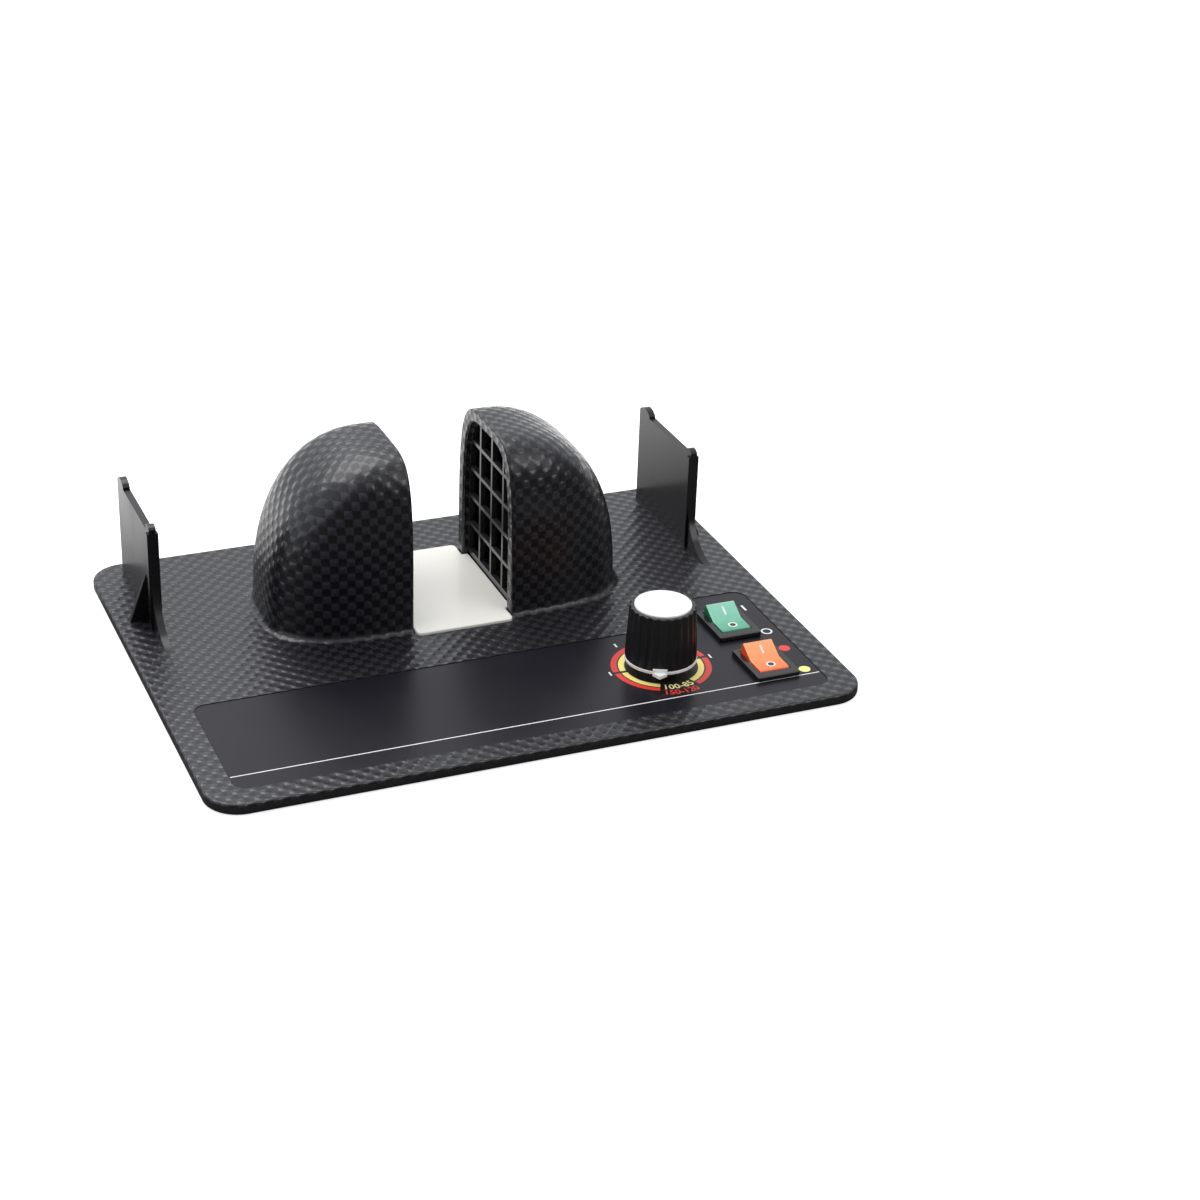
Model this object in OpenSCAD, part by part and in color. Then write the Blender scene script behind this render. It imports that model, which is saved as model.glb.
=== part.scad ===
// Eyeglass frame warmer, built into a shop counter: a flat deck with two
// facing warm-air hoods, two temple rests, a heat knob and two rocker
// switches, and a housing below it that holds the fans and heaters.
// Millimetres, +Z up. Heights in the modules are measured from the deck's top
// face; on_deck() lifts them so that the housing's base lies at z = 0.
// Left is -X, right is +X, and the operator stands on the -Y side.

/* [Deck] */
// Width of the deck
deck_w = 230; // [224:1:260]
// Depth of the deck, front to back
deck_d = 176; // [172:1:200]
// Thickness of the deck
deck_t = 4; // [3:0.5:6]
// Radius of the deck's corners
deck_corner_r = 12; // [8:1:18]

/* [Hoods] */
// Gap between the two hoods, where the frame is held
gap_w = 36.4; // [30:0.2:44]
// Length of a hood, outwards from the gap
hood_l = 47.2; // [44:0.2:50]
// Depth of a hood, front to back
hood_d = 56; // [54:0.5:60]
// Height of a hood above the deck
hood_h = 63.4; // [55:0.2:72]
// Front wall of the hoods, measured back from the deck's centre line
hood_front_y = 2.2; // [0:0.2:4]
// Wall thickness of the hoods
hood_wall = 2.4; // [1.8:0.1:3]
// Radius of the fillet at a hood's foot
hood_foot_r = 2.5; // [1.5:0.5:4]
// Squareness of a hood's front view: 2 is an ellipse
hood_side_power = 2.44; // [2.2:0.02:3]
// Squareness of the arch that faces the gap
hood_arch_power = 4.6; // [4:0.1:6]
// Squareness of a hood's front outer corner in plan
hood_front_power = 3; // [2.6:0.1:4]
// Squareness of a hood's back outer corner in plan
hood_back_power = 4; // [3:0.1:5]

/* [Grilles] */
// Rim of a hood's face beside the grille
grille_rim_w = 5; // [4:0.5:7]
// Rim of a hood's face over the grille
grille_rim_top = 4.2; // [3:0.2:6]
// Cell columns of a grille
grille_columns = 4; // [3:1:5]
// Cell rows of a grille
grille_rows = 5; // [4:1:6]
// Width of the bars between cells
grille_bar_w = 1.4; // [1:0.1:2.5]
// Thickness of a grille
grille_t = 2; // [1.5:0.1:3]
// Height of the solid strip below the lowest cells
grille_sill_h = 2.7; // [2:0.1:5]

/* [Floor panel] */
// Thickness of the light panel between the hoods
panel_t = 2; // [1.6:0.1:2.6]
// Depth of its pocket in the deck
panel_pocket = 1; // [0.6:0.1:1.4]
// How far the panel reaches past the hoods, front and back
panel_reach = 3.4; // [2.8:0.1:5]
// Corner radius of the panel
panel_corner_r = 2; // [1:0.5:3]

/* [Temple rests] */
// Distance of a temple rest from the deck's side edge
rest_edge_x = 14.1; // [11:0.1:18]
// Thickness of a temple rest
rest_t = 2.5; // [2:0.1:3.5]
// Height of a temple rest between its nubs
rest_h = 36.9; // [30:0.1:45]
// Distance of a temple rest from the deck's rear edge
rest_edge_y = 7.4; // [5:0.1:10]
// Length of a temple rest, front to back
rest_l = 47.4; // [40:0.1:50]
// Height of the two nubs that keep a temple on the rest
rest_nub_h = 2.6; // [1.5:0.1:4]
// Length of the front nub
rest_front_nub_l = 5; // [4:0.1:8]
// Length of the rear nub
rest_rear_nub_l = 9; // [5:0.1:12]
// Radius of the flared foot in front of a temple rest
rest_flare_r = 18; // [12:0.5:20]
// Width of the thick rim along the front edge
rest_rim_w = 4; // [3:0.1:5]
// Depth of the thick rim
rest_rim_d = 2.2; // [1.5:0.1:3]
// Reach of the outer gusset
rest_gusset_w = 6.5; // [4:0.1:8]
// Height of the outer gusset
rest_gusset_h = 18; // [10:0.5:22]
// Thickness of the gusset
rest_gusset_t = 2; // [1.5:0.1:3]
// Radius of the staked pegs under a temple rest
rest_peg_r = 1.1; // [0.8:0.1:1.2]

/* [Control label] */
// Distance of the printed label from the deck's side edges
label_edge_x = 10.3; // [9:0.1:14]
// Distance of the label from the deck's front edge
label_edge_y = 9; // [7:0.1:11]
// Depth of the label's long strip
label_strip_d = 55.5; // [52:0.1:58]
// Depth of the label's block that holds the switches
label_block_d = 72.6; // [70:0.1:74]
// Width of the block that holds the switches
label_block_w = 35.7; // [31:0.1:38]
// Corner radius of the label
label_corner_r = 4.5; // [3:0.5:7]
// Thickness of the label
label_t = 0.3; // [0.2:0.05:0.4]
// Depth of its recess in the deck
label_recess = 0.5; // [0.5:0.05:0.9]

/* [Knob] */
// Distance of the knob's axis from the deck's right edge
knob_edge_x = 61.3; // [57:0.1:65]
// Distance of the knob's axis from the deck's front edge
knob_edge_y = 39.2; // [36:0.1:43]
// Radius of the knob's body at its foot
knob_foot_r = 12.5; // [11:0.1:14]
// Radius of the knob's body at its top
knob_top_r = 11.5; // [10:0.1:12]
// Height of the knob above the deck
knob_h = 24.4; // [21:0.1:30]
// Number of grip flutes round the knob
knob_flutes = 24; // [16:2:36]
// Radius of a grip flute
knob_flute_r = 0.9; // [0.5:0.1:1.2]
// Radius of the knob's light cap
cap_r = 9.9; // [8:0.1:10.6]
// Thickness of the cap
cap_t = 1; // [0.8:0.1:2]
// Radius of the pointer ring
ring_r = 12.6; // [12.4:0.1:14]
// Thickness of the pointer ring
ring_t = 1.2; // [0.9:0.1:1.5]
// Height of the pointer ring's top above the deck
ring_top_z = 4.4; // [4.2:0.1:5]
// Reach of the pointer's tip from the knob's axis
pointer_r = 15.8; // [15.2:0.1:17.5]
// Width of the pointer at its shoulders
pointer_w = 5; // [4:0.1:7]
// Height of the pointer's flag, which stands against the knob
pointer_flag_h = 1.2; // [0.8:0.1:4]
// Turn of the pointer from straight ahead, at the start of the scale
pointer_turn = 25; // [15:1:35]

/* [Heat regulator] */
// Radius of the regulator's shaft
shaft_r = 3; // [2.5:0.1:3.2]
// Running clearance round the shaft
shaft_gap = 0.05; // [0.02:0.01:0.1]
// Radius of the threaded bushing
bushing_r = 4.75; // [4.4:0.05:5]
// Width of the nut across its flats
nut_af = 13; // [12:0.5:14]
// Thickness of the nut
nut_t = 2; // [1.5:0.1:2.2]
// Radius of the regulator's body
regulator_r = 12; // [10:0.5:14]
// Height of the regulator's body
regulator_h = 10; // [8:0.5:14]

/* [Rocker switches] */
// Distance of the switches' middle from the deck's right edge
switch_edge_x = 26.2; // [25:0.1:29]
// Distance of the power rocker's pin from the deck's front edge
power_edge_y = 59.5; // [58:0.1:61]
// Distance of the range rocker's pin from the deck's front edge
range_edge_y = 28.9; // [28:0.1:30]
// Width of a switch bezel
bezel_w = 16.2; // [15:0.1:18]
// Length of a switch bezel
bezel_l = 21.6; // [21:0.1:23]
// Distance of a bezel's middle in front of its rocker's pin
bezel_shift = 0.9; // [0:0.1:1.2]
// Height of a switch bezel above the label
bezel_h = 1.8; // [1.7:0.1:2.4]
// Width of a rocker
rocker_w = 11.2; // [9:0.1:12]
// Swing radius of a rocker's ends about its pin
rocker_r = 8.1; // [7.6:0.1:8.6]
// Angle between a rocker's two faces and also its travel
rocker_angle = 28; // [16:1:28]
// Height of the pressed face above the bezel
rocker_stand = 0.4; // [0.2:0.1:1]
// Depth of a rocker below its pin
rocker_keel = 4.5; // [4:0.1:5]
// Wall between a rocker and the outside of the switch body
switch_wall = 0.9; // [0.7:0.1:1]
// Play between a rocker and its switch body
rocker_gap = 0.3; // [0.2:0.05:0.4]
// Radius of the rocker's hinge pins
rocker_pin_r = 0.7; // [0.5:0.05:0.75]
// Depth of a switch body below the deck's top face
switch_depth = 20; // [16:0.5:26]
// Length of the blade terminals
blade_l = 7; // [5:0.5:9]

/* [Ducts and heaters] */
// Height of the air ducts below the deck
duct_h = 22; // [18:0.5:26]
// Sheet thickness of the ducts
duct_wall = 1; // [0.6:0.1:1.5]
// Width of the ducts' screw flange
duct_flange = 6; // [5.8:0.1:6.6]
// Height of a heater
heater_h = 12; // [8:0.5:14]
// Number of fins across a heater
heater_fins = 15; // [9:2:21]
// Radius of a thermal cut-out
cutout_r = 7; // [5:0.5:8]
// Thickness of a thermal cut-out
cutout_t = 5; // [3:0.5:6]

/* [Fans] */
// Side of a fan frame
fan_w = 50; // [46:0.5:52]
// Thickness of a fan frame
fan_h = 15; // [14:0.5:20]
// Radius of a fan's air passage
fan_bore_r = 23.5; // [20:0.5:24]
// Radius of an impeller's hub
hub_r = 8.5; // [7:0.5:10]
// Blades on an impeller
fan_blades = 7; // [5:1:9]
// Pitch of an impeller's blades
blade_pitch = 38; // [25:1:45]
// Radius of a fan's shaft
fan_shaft_r = 1.5; // [1:0.1:2]

/* [Housing] */
// How far the deck reaches past the housing at each side, over the counter
rim_w = 15; // [12:0.5:16]
// How far the deck reaches past the housing, front and back
rim_d = 13; // [11:0.5:14]
// Height of the housing
housing_h = 68; // [64:1:90]
// Wall and floor thickness of the housing
housing_wall = 2.5; // [2:0.1:3.5]
// Corner radius of the housing
housing_corner_r = 8; // [6:0.5:12]
// Radius of the pillars for the housing screws
pillar_r = 5; // [4.6:0.1:6]
// Height of the screw bosses under the deck
boss_h = 12; // [10:0.5:16]
// Radius of the screw bosses under the deck
boss_r = 4; // [3.5:0.1:5]
// Slots in each intake
intake_slots = 9; // [5:2:11]
// Width of an intake slot
intake_slot_w = 2.6; // [2:0.1:3.2]
// Radius of the power cord's passage
cord_r = 3.75; // [3:0.05:4.5]

/* [Control board] */
// Width of the control board
board_w = 72; // [66:1:78]
// Depth of the control board, front to back
board_d = 44; // [40:1:50]
// Thickness of the control board
board_t = 1.6; // [1:0.2:2.4]
// Height of the board's posts on the housing's floor
board_post_h = 8; // [6:0.5:12]

/* [Hidden] */
$fn = 48;

seam = 0.2;         // clearance round a piece that drops into a pocket
cut = 0.5;          // how far a cutter runs past the face it opens
deck_z = housing_h + deck_t;
under = -deck_t;    // the deck's underside, seen from its top face

rest_x = deck_w / 2 - rest_edge_x;
rest_rear_y = deck_d / 2 - rest_edge_y;
rest_front_y = rest_rear_y - rest_l;
label_half_w = deck_w / 2 - label_edge_x;
label_front_y = label_edge_y - deck_d / 2;
knob_x = deck_w / 2 - knob_edge_x;
knob_y = knob_edge_y - deck_d / 2;
switch_x = deck_w / 2 - switch_edge_x;
power_y = power_edge_y - deck_d / 2;
range_y = range_edge_y - deck_d / 2;
housing_w = deck_w - 2 * rim_w;
housing_d = deck_d - 2 * rim_d;

gap_x = gap_w / 2;
hood_y = hood_front_y + hood_d / 2;
hood_x = gap_x + hood_l / 2;
cavity_l = hood_l - 2 * hood_wall;
cavity_d = hood_d - 2 * hood_wall;
cavity_h = hood_h - hood_wall;

window_d = hood_d - 2 * grille_rim_w;
window_h = hood_h - grille_rim_top;
grille_x = gap_x + hood_wall;

label_z = label_t - label_recess;   // top face of the label
knob_seat_z = ring_top_z;
bezel_z = label_z + bezel_h;

duct_in_w = cavity_l + 2 * seam;
duct_in_d = cavity_d + 2 * seam;
duct_z = under - duct_h;
fan_z = duct_z - fan_h;
fan_tip_gap = 0.8;
motor_r = hub_r - 2;
bearing_r = 2.6;
bearing_gap = 0.05;

screw_r = 1.25;
screw_pilot_r = 1.3;
screw_pass_r = 1.7;
screw_head_r = 2.7;
screw_head_h = 2;
pillar_top_z = under - boss_h;
screw_seat_z = pillar_top_z - 6;
floor_z = -deck_z + housing_wall;
rear_pillar_inset = 14;     // of the pillars' axes, from the housing's outside
front_pillar_inset = 11;
front_pillar_shift = 14;    // keeps the right front pillar clear of the switches
rear_pillar_x = housing_w / 2 - rear_pillar_inset;
rear_pillar_y = housing_d / 2 - rear_pillar_inset;
front_pillar_x = rear_pillar_x - front_pillar_shift;
front_pillar_y = front_pillar_inset - housing_d / 2;
pillars = [[-rear_pillar_x, rear_pillar_y], [rear_pillar_x, rear_pillar_y],
           [-front_pillar_x, front_pillar_y], [front_pillar_x, front_pillar_y]];

groove_w = 0.8;     // sealing groove in the deck's underside, round the housing
groove_d = 0.6;

board_side_room = 17.5;     // between the board and the housing's inner faces
board_front_room = 16.5;
board_x = board_side_room + board_w / 2 + housing_wall - housing_w / 2;
board_y = board_front_room + board_d / 2 + housing_wall - housing_d / 2;
board_z = floor_z + board_post_h;
board_top = board_z + board_t;
board_inset = 4;
cord_rise = 22;             // of the cord's passage, above the base
cord_z = -deck_z + cord_rise;
bushing_wall = 3;
bushing_flange_t = 2;
bushing_lip = 2.2;
bushing_barb = 1.5;
bushing_barb_l = 3;
bushing_tail = 10;

// ---------------------------------------------------------------- helpers

module on_deck() translate([0, 0, deck_z]) children();

// Both sides of a mirrored pair, or one of them
module on_side(side) mirror([side < 0 ? 1 : 0, 0, 0]) children();

module rounded(w, d, r) {
    square([w - 2 * r, d], center = true);
    square([w, d - 2 * r], center = true);
    for (sx = [-1, 1], sy = [-1, 1])
        translate([sx * (w / 2 - r), sy * (d / 2 - r)]) circle(r);
}

// A slab with round corners, from height z up
module slab(w, d, h, r, z = 0) translate([0, 0, z]) linear_extrude(h) rounded(w, d, r);

// A box centred in plan on [x, y], from height z up
module block(x, y, z, w, d, h) translate([x - w / 2, y - d / 2, z]) cube([w, d, h]);

// A screw standing on its head's seat, shank up
module screw(length) {
    translate([0, 0, -screw_head_h]) cylinder(r = screw_head_r, h = screw_head_h, $fn = 32);
    cylinder(r = screw_r, h = length, $fn = 32);
}

// ---------------------------------------------------------------- hood shape

function power(v, p) = sign(v) * pow(abs(v), 2 / p);

// Share of a superellipse's half width that is left at the height share u
function narrowed(u, p) = pow(max(0, 1 - pow(min(1, max(0, u)), p)), 1 / p);

// Heights of the rings: down through the deck, the foot fillet, then the dome
function ring_heights(h, foot, low) = concat(
    [low],
    foot > 0 ? [for (a = [0:22.5:90]) foot * (1 - cos(a))] : [0],
    [for (a = [10:8:82]) h * pow(sin(a), 2 / hood_side_power)]
);

function flare(z, foot) = z >= foot ? 0 : foot - sqrt(max(0, foot * foot - pow(foot - max(0, z), 2)));

// One level ring of a hood, from the front of its face round to the back
function hood_ring(l, d, h, foot, z) = [for (a = [-90:7.5:90])
    let (p = a < 0 ? hood_front_power : hood_back_power, e = flare(z, foot))
    [(l * narrowed(z / h, hood_side_power) + e) * power(cos(a), p),
     (d / 2 * narrowed(z / h, hood_arch_power) + e) * power(sin(a), p), z]];

// A closed dome with a flat face at x = 0 and its length along +X
module dome(l, d, h, foot, low) {
    heights = ring_heights(h, foot, low);
    rings = [for (z = heights) hood_ring(l, d, h, foot, z)];
    n = len(rings[0]);
    m = len(rings);
    points = concat([for (r = rings) each r], [[0, 0, h]]);
    top = n * m;
    walls = [for (i = [0:m - 2], j = [0:n - 1])
        let (k = (j + 1) % n, a = i * n + j, b = i * n + k)
        each (j < n - 1
            ? [[a, a + n, b + n], [a, b + n, b]]
            : [[a, a + n, b + n, b]])];
    crown = [for (j = [0:n - 1]) [(m - 1) * n + j, top, (m - 1) * n + (j + 1) % n]];
    base = [[for (j = [0:n - 1]) j]];
    polyhedron(points, concat(walls, crown, base), convexity = 4);
}

// Arch outline of a hood's face, standing in the YZ plane at height x
module face_arch(d, h, x, t) translate([x, hood_y, 0]) rotate([90, 0, 90]) linear_extrude(t)
    polygon([for (a = [0:7.5:180]) [d / 2 * power(cos(a), hood_arch_power),
                                    h * power(sin(a), hood_arch_power)]]);

// ---------------------------------------------------------------- deck and hoods

module label_outline(grow = 0) {
    translate([0, label_front_y + label_strip_d / 2])
        rounded(2 * label_half_w + 2 * grow, label_strip_d + 2 * grow, label_corner_r + grow);
    translate([label_half_w - label_block_w / 2, label_front_y + label_block_d / 2])
        rounded(label_block_w + 2 * grow, label_block_d + 2 * grow, label_corner_r + grow);
}

module panel_outline(grow = 0) {
    translate([0, hood_y])
        rounded(gap_w - 2 * seam + 2 * grow, hood_d + 2 * panel_reach + 2 * grow, panel_corner_r);
    translate([0, hood_y])
        square([gap_w + 2 * hood_wall - 2 * seam + 2 * grow,
                window_d - 2 * seam + 2 * grow], center = true);
}

module top_cover() color("dimgray") on_deck() difference() {
    union() {
        slab(deck_w, deck_d, deck_t, deck_corner_r, under);
        for (side = [-1, 1]) on_side(side)
            translate([gap_x, hood_y, 0]) dome(hood_l, hood_d, hood_h, hood_foot_r, under / 2);
        for (p = pillars) translate([p[0], p[1], pillar_top_z]) cylinder(r = boss_r, h = boss_h + cut);
    }
    for (side = [-1, 1]) on_side(side) {
        translate([grille_x, hood_y, 0]) dome(cavity_l, cavity_d, cavity_h, 0, under - cut);
        face_arch(window_d, window_h, gap_x - cut, hood_wall + 2 * cut);
        for (y = rest_peg_ys) translate([rest_x + rest_t / 2, y, under - cut])
            cylinder(r = rest_peg_r + seam / 4, h = deck_t + 2 * cut, $fn = 32);
        for (y = duct_screw_ys) translate([duct_screw_x, y, under - cut])
            cylinder(r = screw_pilot_r, h = deck_t - 1 + cut, $fn = 32);
    }
    translate([0, 0, -panel_pocket]) linear_extrude(panel_pocket + cut) panel_outline(seam);
    translate([0, 0, -label_recess]) linear_extrude(label_recess + cut) label_outline(seam);
    translate([knob_x, knob_y, under - cut]) cylinder(r = bushing_r + seam, h = deck_t + 2 * cut);
    for (y = [power_y, range_y])
        block(switch_x, y, under - cut, switch_w + 2 * seam, switch_l + 2 * seam, deck_t + 2 * cut);
    for (p = pillars) translate([p[0], p[1], pillar_top_z - cut])
        cylinder(r = screw_pilot_r, h = boss_h - 1, $fn = 32);
    difference() {
        slab(housing_w + 2 * groove_w, housing_d + 2 * groove_w, groove_d + cut,
             housing_corner_r + groove_w, under - cut);
        slab(housing_w, housing_d, groove_d + 2 * cut, housing_corner_r, under - cut);
    }
}

module floor_panel() color("ivory") on_deck()
    translate([0, 0, -panel_pocket]) linear_extrude(panel_t) panel_outline();

// ---------------------------------------------------------------- grilles

module grille(side) color([0.05, 0.05, 0.05]) on_deck() on_side(side) difference() {
    intersection() {
        face_arch(cavity_d - 4 * seam, cavity_h - 4 * seam, grille_x, grille_t);
        block(grille_x, hood_y, panel_t - panel_pocket + seam, 4 * grille_t, hood_d, hood_h);
    }
    intersection() {
        face_arch(window_d - grille_bar_w, window_h - grille_bar_w / 2, grille_x - cut, grille_t + 2 * cut);
        cell_d = window_d / grille_columns;
        cell_h = (window_h - grille_sill_h) / grille_rows;
        union() for (i = [0:grille_columns - 1], j = [0:grille_rows - 1])
            block(grille_x + grille_t / 2, hood_y - window_d / 2 + (i + 0.5) * cell_d,
                  grille_sill_h + j * cell_h + grille_bar_w / 2,
                  4 * grille_t, cell_d - grille_bar_w, cell_h - grille_bar_w);
    }
}

module left_grille() grille(-1);
module right_grille() grille(1);

// ---------------------------------------------------------------- temple rests

rest_peg_ys = [rest_front_y + 6, rest_rear_y - 6];
rest_gusset_y = rest_front_y + 9;

module rest_nub(y0, l) translate([y0 + l / 2, 0]) intersection() {
    translate([0, rest_h + rest_nub_h / 2 - cut]) square([l, rest_nub_h + 2 * cut], center = true);
    translate([0, rest_h + rest_nub_h - l * 0.7]) circle(l * 0.7);
}

module rest_outline() {
    translate([rest_front_y, 0]) square([rest_l, rest_h]);
    rest_nub(rest_front_y, rest_front_nub_l);
    rest_nub(rest_rear_y - rest_rear_nub_l, rest_rear_nub_l);
    difference() {
        translate([rest_front_y - rest_flare_r, 0]) square(rest_flare_r + cut);
        translate([rest_front_y - rest_flare_r, rest_flare_r]) circle(rest_flare_r);
    }
}

module temple_rest(side) color([0.22, 0.22, 0.23]) on_deck() on_side(side) {
    translate([rest_x, 0, 0]) rotate([90, 0, 90]) linear_extrude(rest_t) rest_outline();
    block(rest_x + rest_t / 2, rest_front_y + rest_rim_d / 2, 0, rest_rim_w, rest_rim_d, rest_h);
    translate([rest_x + rest_t - cut, rest_gusset_y + rest_gusset_t / 2, 0]) rotate([90, 0, 0])
        linear_extrude(rest_gusset_t)
        polygon([[0, 0], [rest_gusset_w + cut, 0], [cut, rest_gusset_h], [0, rest_gusset_h]]);
    for (y = rest_peg_ys) translate([rest_x + rest_t / 2, y, under])
        cylinder(r = rest_peg_r, h = deck_t + cut, $fn = 32);
}

module left_temple_rest() temple_rest(-1);
module right_temple_rest() temple_rest(1);

// ---------------------------------------------------------------- label

module control_label() color([0.15, 0.14, 0.17]) on_deck() difference() {
    translate([0, 0, -label_recess]) linear_extrude(label_t) label_outline();
    translate([knob_x, knob_y, -1]) cylinder(r = bushing_r + seam, h = 2);
    for (y = [power_y, range_y])
        block(switch_x, y, -1, switch_w + 2 * seam, switch_l + 2 * seam, 2);
}

// ---------------------------------------------------------------- knob and regulator

module at_knob() on_deck() translate([knob_x, knob_y, 0]) children();

module knob_body() color([0.07, 0.07, 0.08]) at_knob() difference() {
    body_h = knob_h - cap_t - knob_seat_z;
    translate([0, 0, knob_seat_z]) cylinder(r1 = knob_foot_r, r2 = knob_top_r, h = body_h, $fn = 96);
    lean = atan((knob_foot_r - knob_top_r) / body_h);
    for (i = [0:knob_flutes - 1]) rotate([0, 0, i * 360 / knob_flutes])
        translate([knob_foot_r + knob_flute_r * 0.4, 0, knob_seat_z]) rotate([0, -lean, 0])
        translate([0, 0, -cut]) cylinder(r = knob_flute_r, h = body_h + 2 * cut, $fn = 20);
    translate([0, 0, knob_seat_z - cut])
        cylinder(r = shaft_r + shaft_gap, h = shaft_top_z - knob_seat_z + 2 * cut);
}

module knob_cap() color("white") at_knob()
    translate([0, 0, knob_h - cap_t]) cylinder(r = cap_r, h = cap_t, $fn = 96);

ring_bore_r = nut_af / 2 / cos(30) + 1;     // clears the nut's corners
flag_gap = 0.1;                             // between the pointer's flag and the knob's body
flag_t = 0.8;
flag_r = [knob_foot_r + flag_gap, knob_foot_r + flag_gap + flag_t];
pointer_shoulder_r = flag_r[1];

module knob_pointer_ring() color("white") at_knob() rotate([0, 0, -pointer_turn]) {
    difference() {
        translate([0, 0, ring_top_z - ring_t]) linear_extrude(ring_t) {
            circle(ring_r, $fn = 96);
            polygon([[-pointer_w / 2, -ring_r * 0.9], [-pointer_w / 2, -pointer_shoulder_r],
                     [0, -pointer_r], [pointer_w / 2, -pointer_shoulder_r],
                     [pointer_w / 2, -ring_r * 0.9]]);
        }
        translate([0, 0, ring_top_z - ring_t - cut]) cylinder(r = ring_bore_r, h = ring_t + 2 * cut);
    }
    block(0, -(flag_r[0] + flag_r[1]) / 2, ring_top_z - cut, pointer_w, flag_r[1] - flag_r[0],
          pointer_flag_h + cut);
}

shaft_top_z = knob_h - cap_t - 5;
bushing_top_z = label_z + nut_t + 0.8;
shaft_low_z = under - regulator_h + 1.5;

module regulator_shaft() color("silver") at_knob()
    translate([0, 0, shaft_low_z]) cylinder(r = shaft_r, h = shaft_top_z - shaft_low_z);

module regulator_body() color("darkgray") at_knob() difference() {
    union() {
        translate([0, 0, under - regulator_h]) cylinder(r = regulator_r, h = regulator_h);
        translate([0, 0, under - cut]) cylinder(r = bushing_r, h = bushing_top_z - under + cut);
        for (i = [-1, 0, 1])
            block(i * 5, -regulator_r - 2, under - regulator_h + 2, 1.6, 6, 0.8);
    }
    translate([0, 0, shaft_low_z - 0.3])
        cylinder(r = shaft_r + shaft_gap, h = bushing_top_z - shaft_low_z + 1);
}

module regulator_nut() color("silver") at_knob() translate([0, 0, label_z]) difference() {
    cylinder(r = nut_af / 2 / cos(30), h = nut_t, $fn = 6);
    translate([0, 0, -cut]) cylinder(r = bushing_r + 0.05, h = nut_t + 2 * cut);
}

// ---------------------------------------------------------------- rocker switches

switch_w = rocker_w + 2 * rocker_gap + 2 * switch_wall;
switch_l = 2 * rocker_r + 2 * rocker_gap + 2 * switch_wall;
rocker_pin_z = label_z + bezel_h / 2;           // the pins turn in the bezel's side walls
rocker_face_z = bezel_z + rocker_stand - rocker_pin_z;
keel_half_l = 3;                                // half length of the keel's flat foot
keel_end_z = -1.5;                              // foot of the rocker's end faces, from the pin
keel_room = 1.2;                                // room under the keel for its swing
pin_gap = 0.05;
pin_reach = rocker_gap + 1.4;
blade_w = 4.8;
blade_t = 0.8;
blade_pitch_y = 6.4;

module at_switch(y) on_deck() translate([switch_x, y, 0]) children();

module switch_body(y) color([0.06, 0.06, 0.06]) at_switch(y) difference() {
    union() {
        block(0, -bezel_shift, label_z, bezel_w, bezel_l, bezel_h);
        block(0, 0, -switch_depth, switch_w, switch_l, switch_depth + label_z + cut);
    }
    block(0, 0, rocker_pin_z - rocker_keel - keel_room, rocker_w + 2 * rocker_gap,
          2 * rocker_r + 2 * rocker_gap, switch_depth);
    translate([0, 0, rocker_pin_z]) rotate([0, 90, 0])
        cylinder(r = rocker_pin_r + pin_gap, h = rocker_w + 2 * pin_reach + 2 * seam,
                 center = true, $fn = 32);
}

// The front half of the rocker is pressed: its face lies level, and the rear
// half stands up by the rocker's angle.
module rocker(y) at_switch(y) translate([0, 0, rocker_pin_z]) {
    intersection() {
        rotate([0, 90, 0]) cylinder(r = rocker_r, h = rocker_w, center = true, $fn = 96);
        rotate([90, 0, 90]) linear_extrude(rocker_w, center = true) polygon([
            [-rocker_r - 1, rocker_face_z], [0, rocker_face_z],
            [rocker_r + 1, rocker_face_z + (rocker_r + 1) * tan(rocker_angle)],
            [rocker_r + 1, keel_end_z], [keel_half_l, -rocker_keel],
            [-keel_half_l, -rocker_keel], [-rocker_r - 1, keel_end_z]]);
    }
    rotate([0, 90, 0])
        cylinder(r = rocker_pin_r, h = rocker_w + 2 * pin_reach, center = true, $fn = 32);
}

module switch_terminals(y) color("silver") at_switch(y)
    for (i = [-1, 0, 1])
        block(0, i * blade_pitch_y, -switch_depth - blade_l, blade_w, blade_t, blade_l);

module power_switch_body() switch_body(power_y);
module range_switch_body() switch_body(range_y);
module power_rocker() color([0.55, 0.82, 0.72]) rocker(power_y);
module range_rocker() color([0.95, 0.6, 0.35]) rocker(range_y);
module power_switch_terminals() switch_terminals(power_y);
module range_switch_terminals() switch_terminals(range_y);

// ---------------------------------------------------------------- ducts and heaters

duct_screw_x = grille_x + cavity_l / 2;
duct_screw_reach = duct_in_d / 2 + duct_wall + screw_head_r + seam;
duct_screw_ys = [hood_y - duct_screw_reach, hood_y + duct_screw_reach];
duct_x = duct_screw_x;
flange_t = 1.2;

module air_duct(side) color("lightgray") on_deck() on_side(side) translate([duct_x, hood_y, 0]) difference() {
    union() {
        block(0, 0, duct_z, duct_in_w + 2 * duct_wall, duct_in_d + 2 * duct_wall, duct_h);
        block(0, 0, under - flange_t, duct_in_w + 2 * duct_wall,
              duct_in_d + 2 * duct_wall + 2 * duct_flange, flange_t);
    }
    block(0, 0, duct_z + duct_wall, duct_in_w, duct_in_d, duct_h);
    translate([0, 0, duct_z - cut]) cylinder(r = min(fan_bore_r, duct_in_w / 2 - 1), h = 2 * duct_wall + cut);
    for (y = duct_screw_ys) translate([0, y - hood_y, under - flange_t - cut])
        cylinder(r = screw_pass_r, h = flange_t + 2 * cut, $fn = 32);
    for (sx = [-1, 1], sy = [-1, 1]) translate([sx * fan_hole, sy * fan_hole, duct_z - cut])
        cylinder(r = screw_pilot_r, h = 2 * duct_wall + cut, $fn = 32);
}

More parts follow.
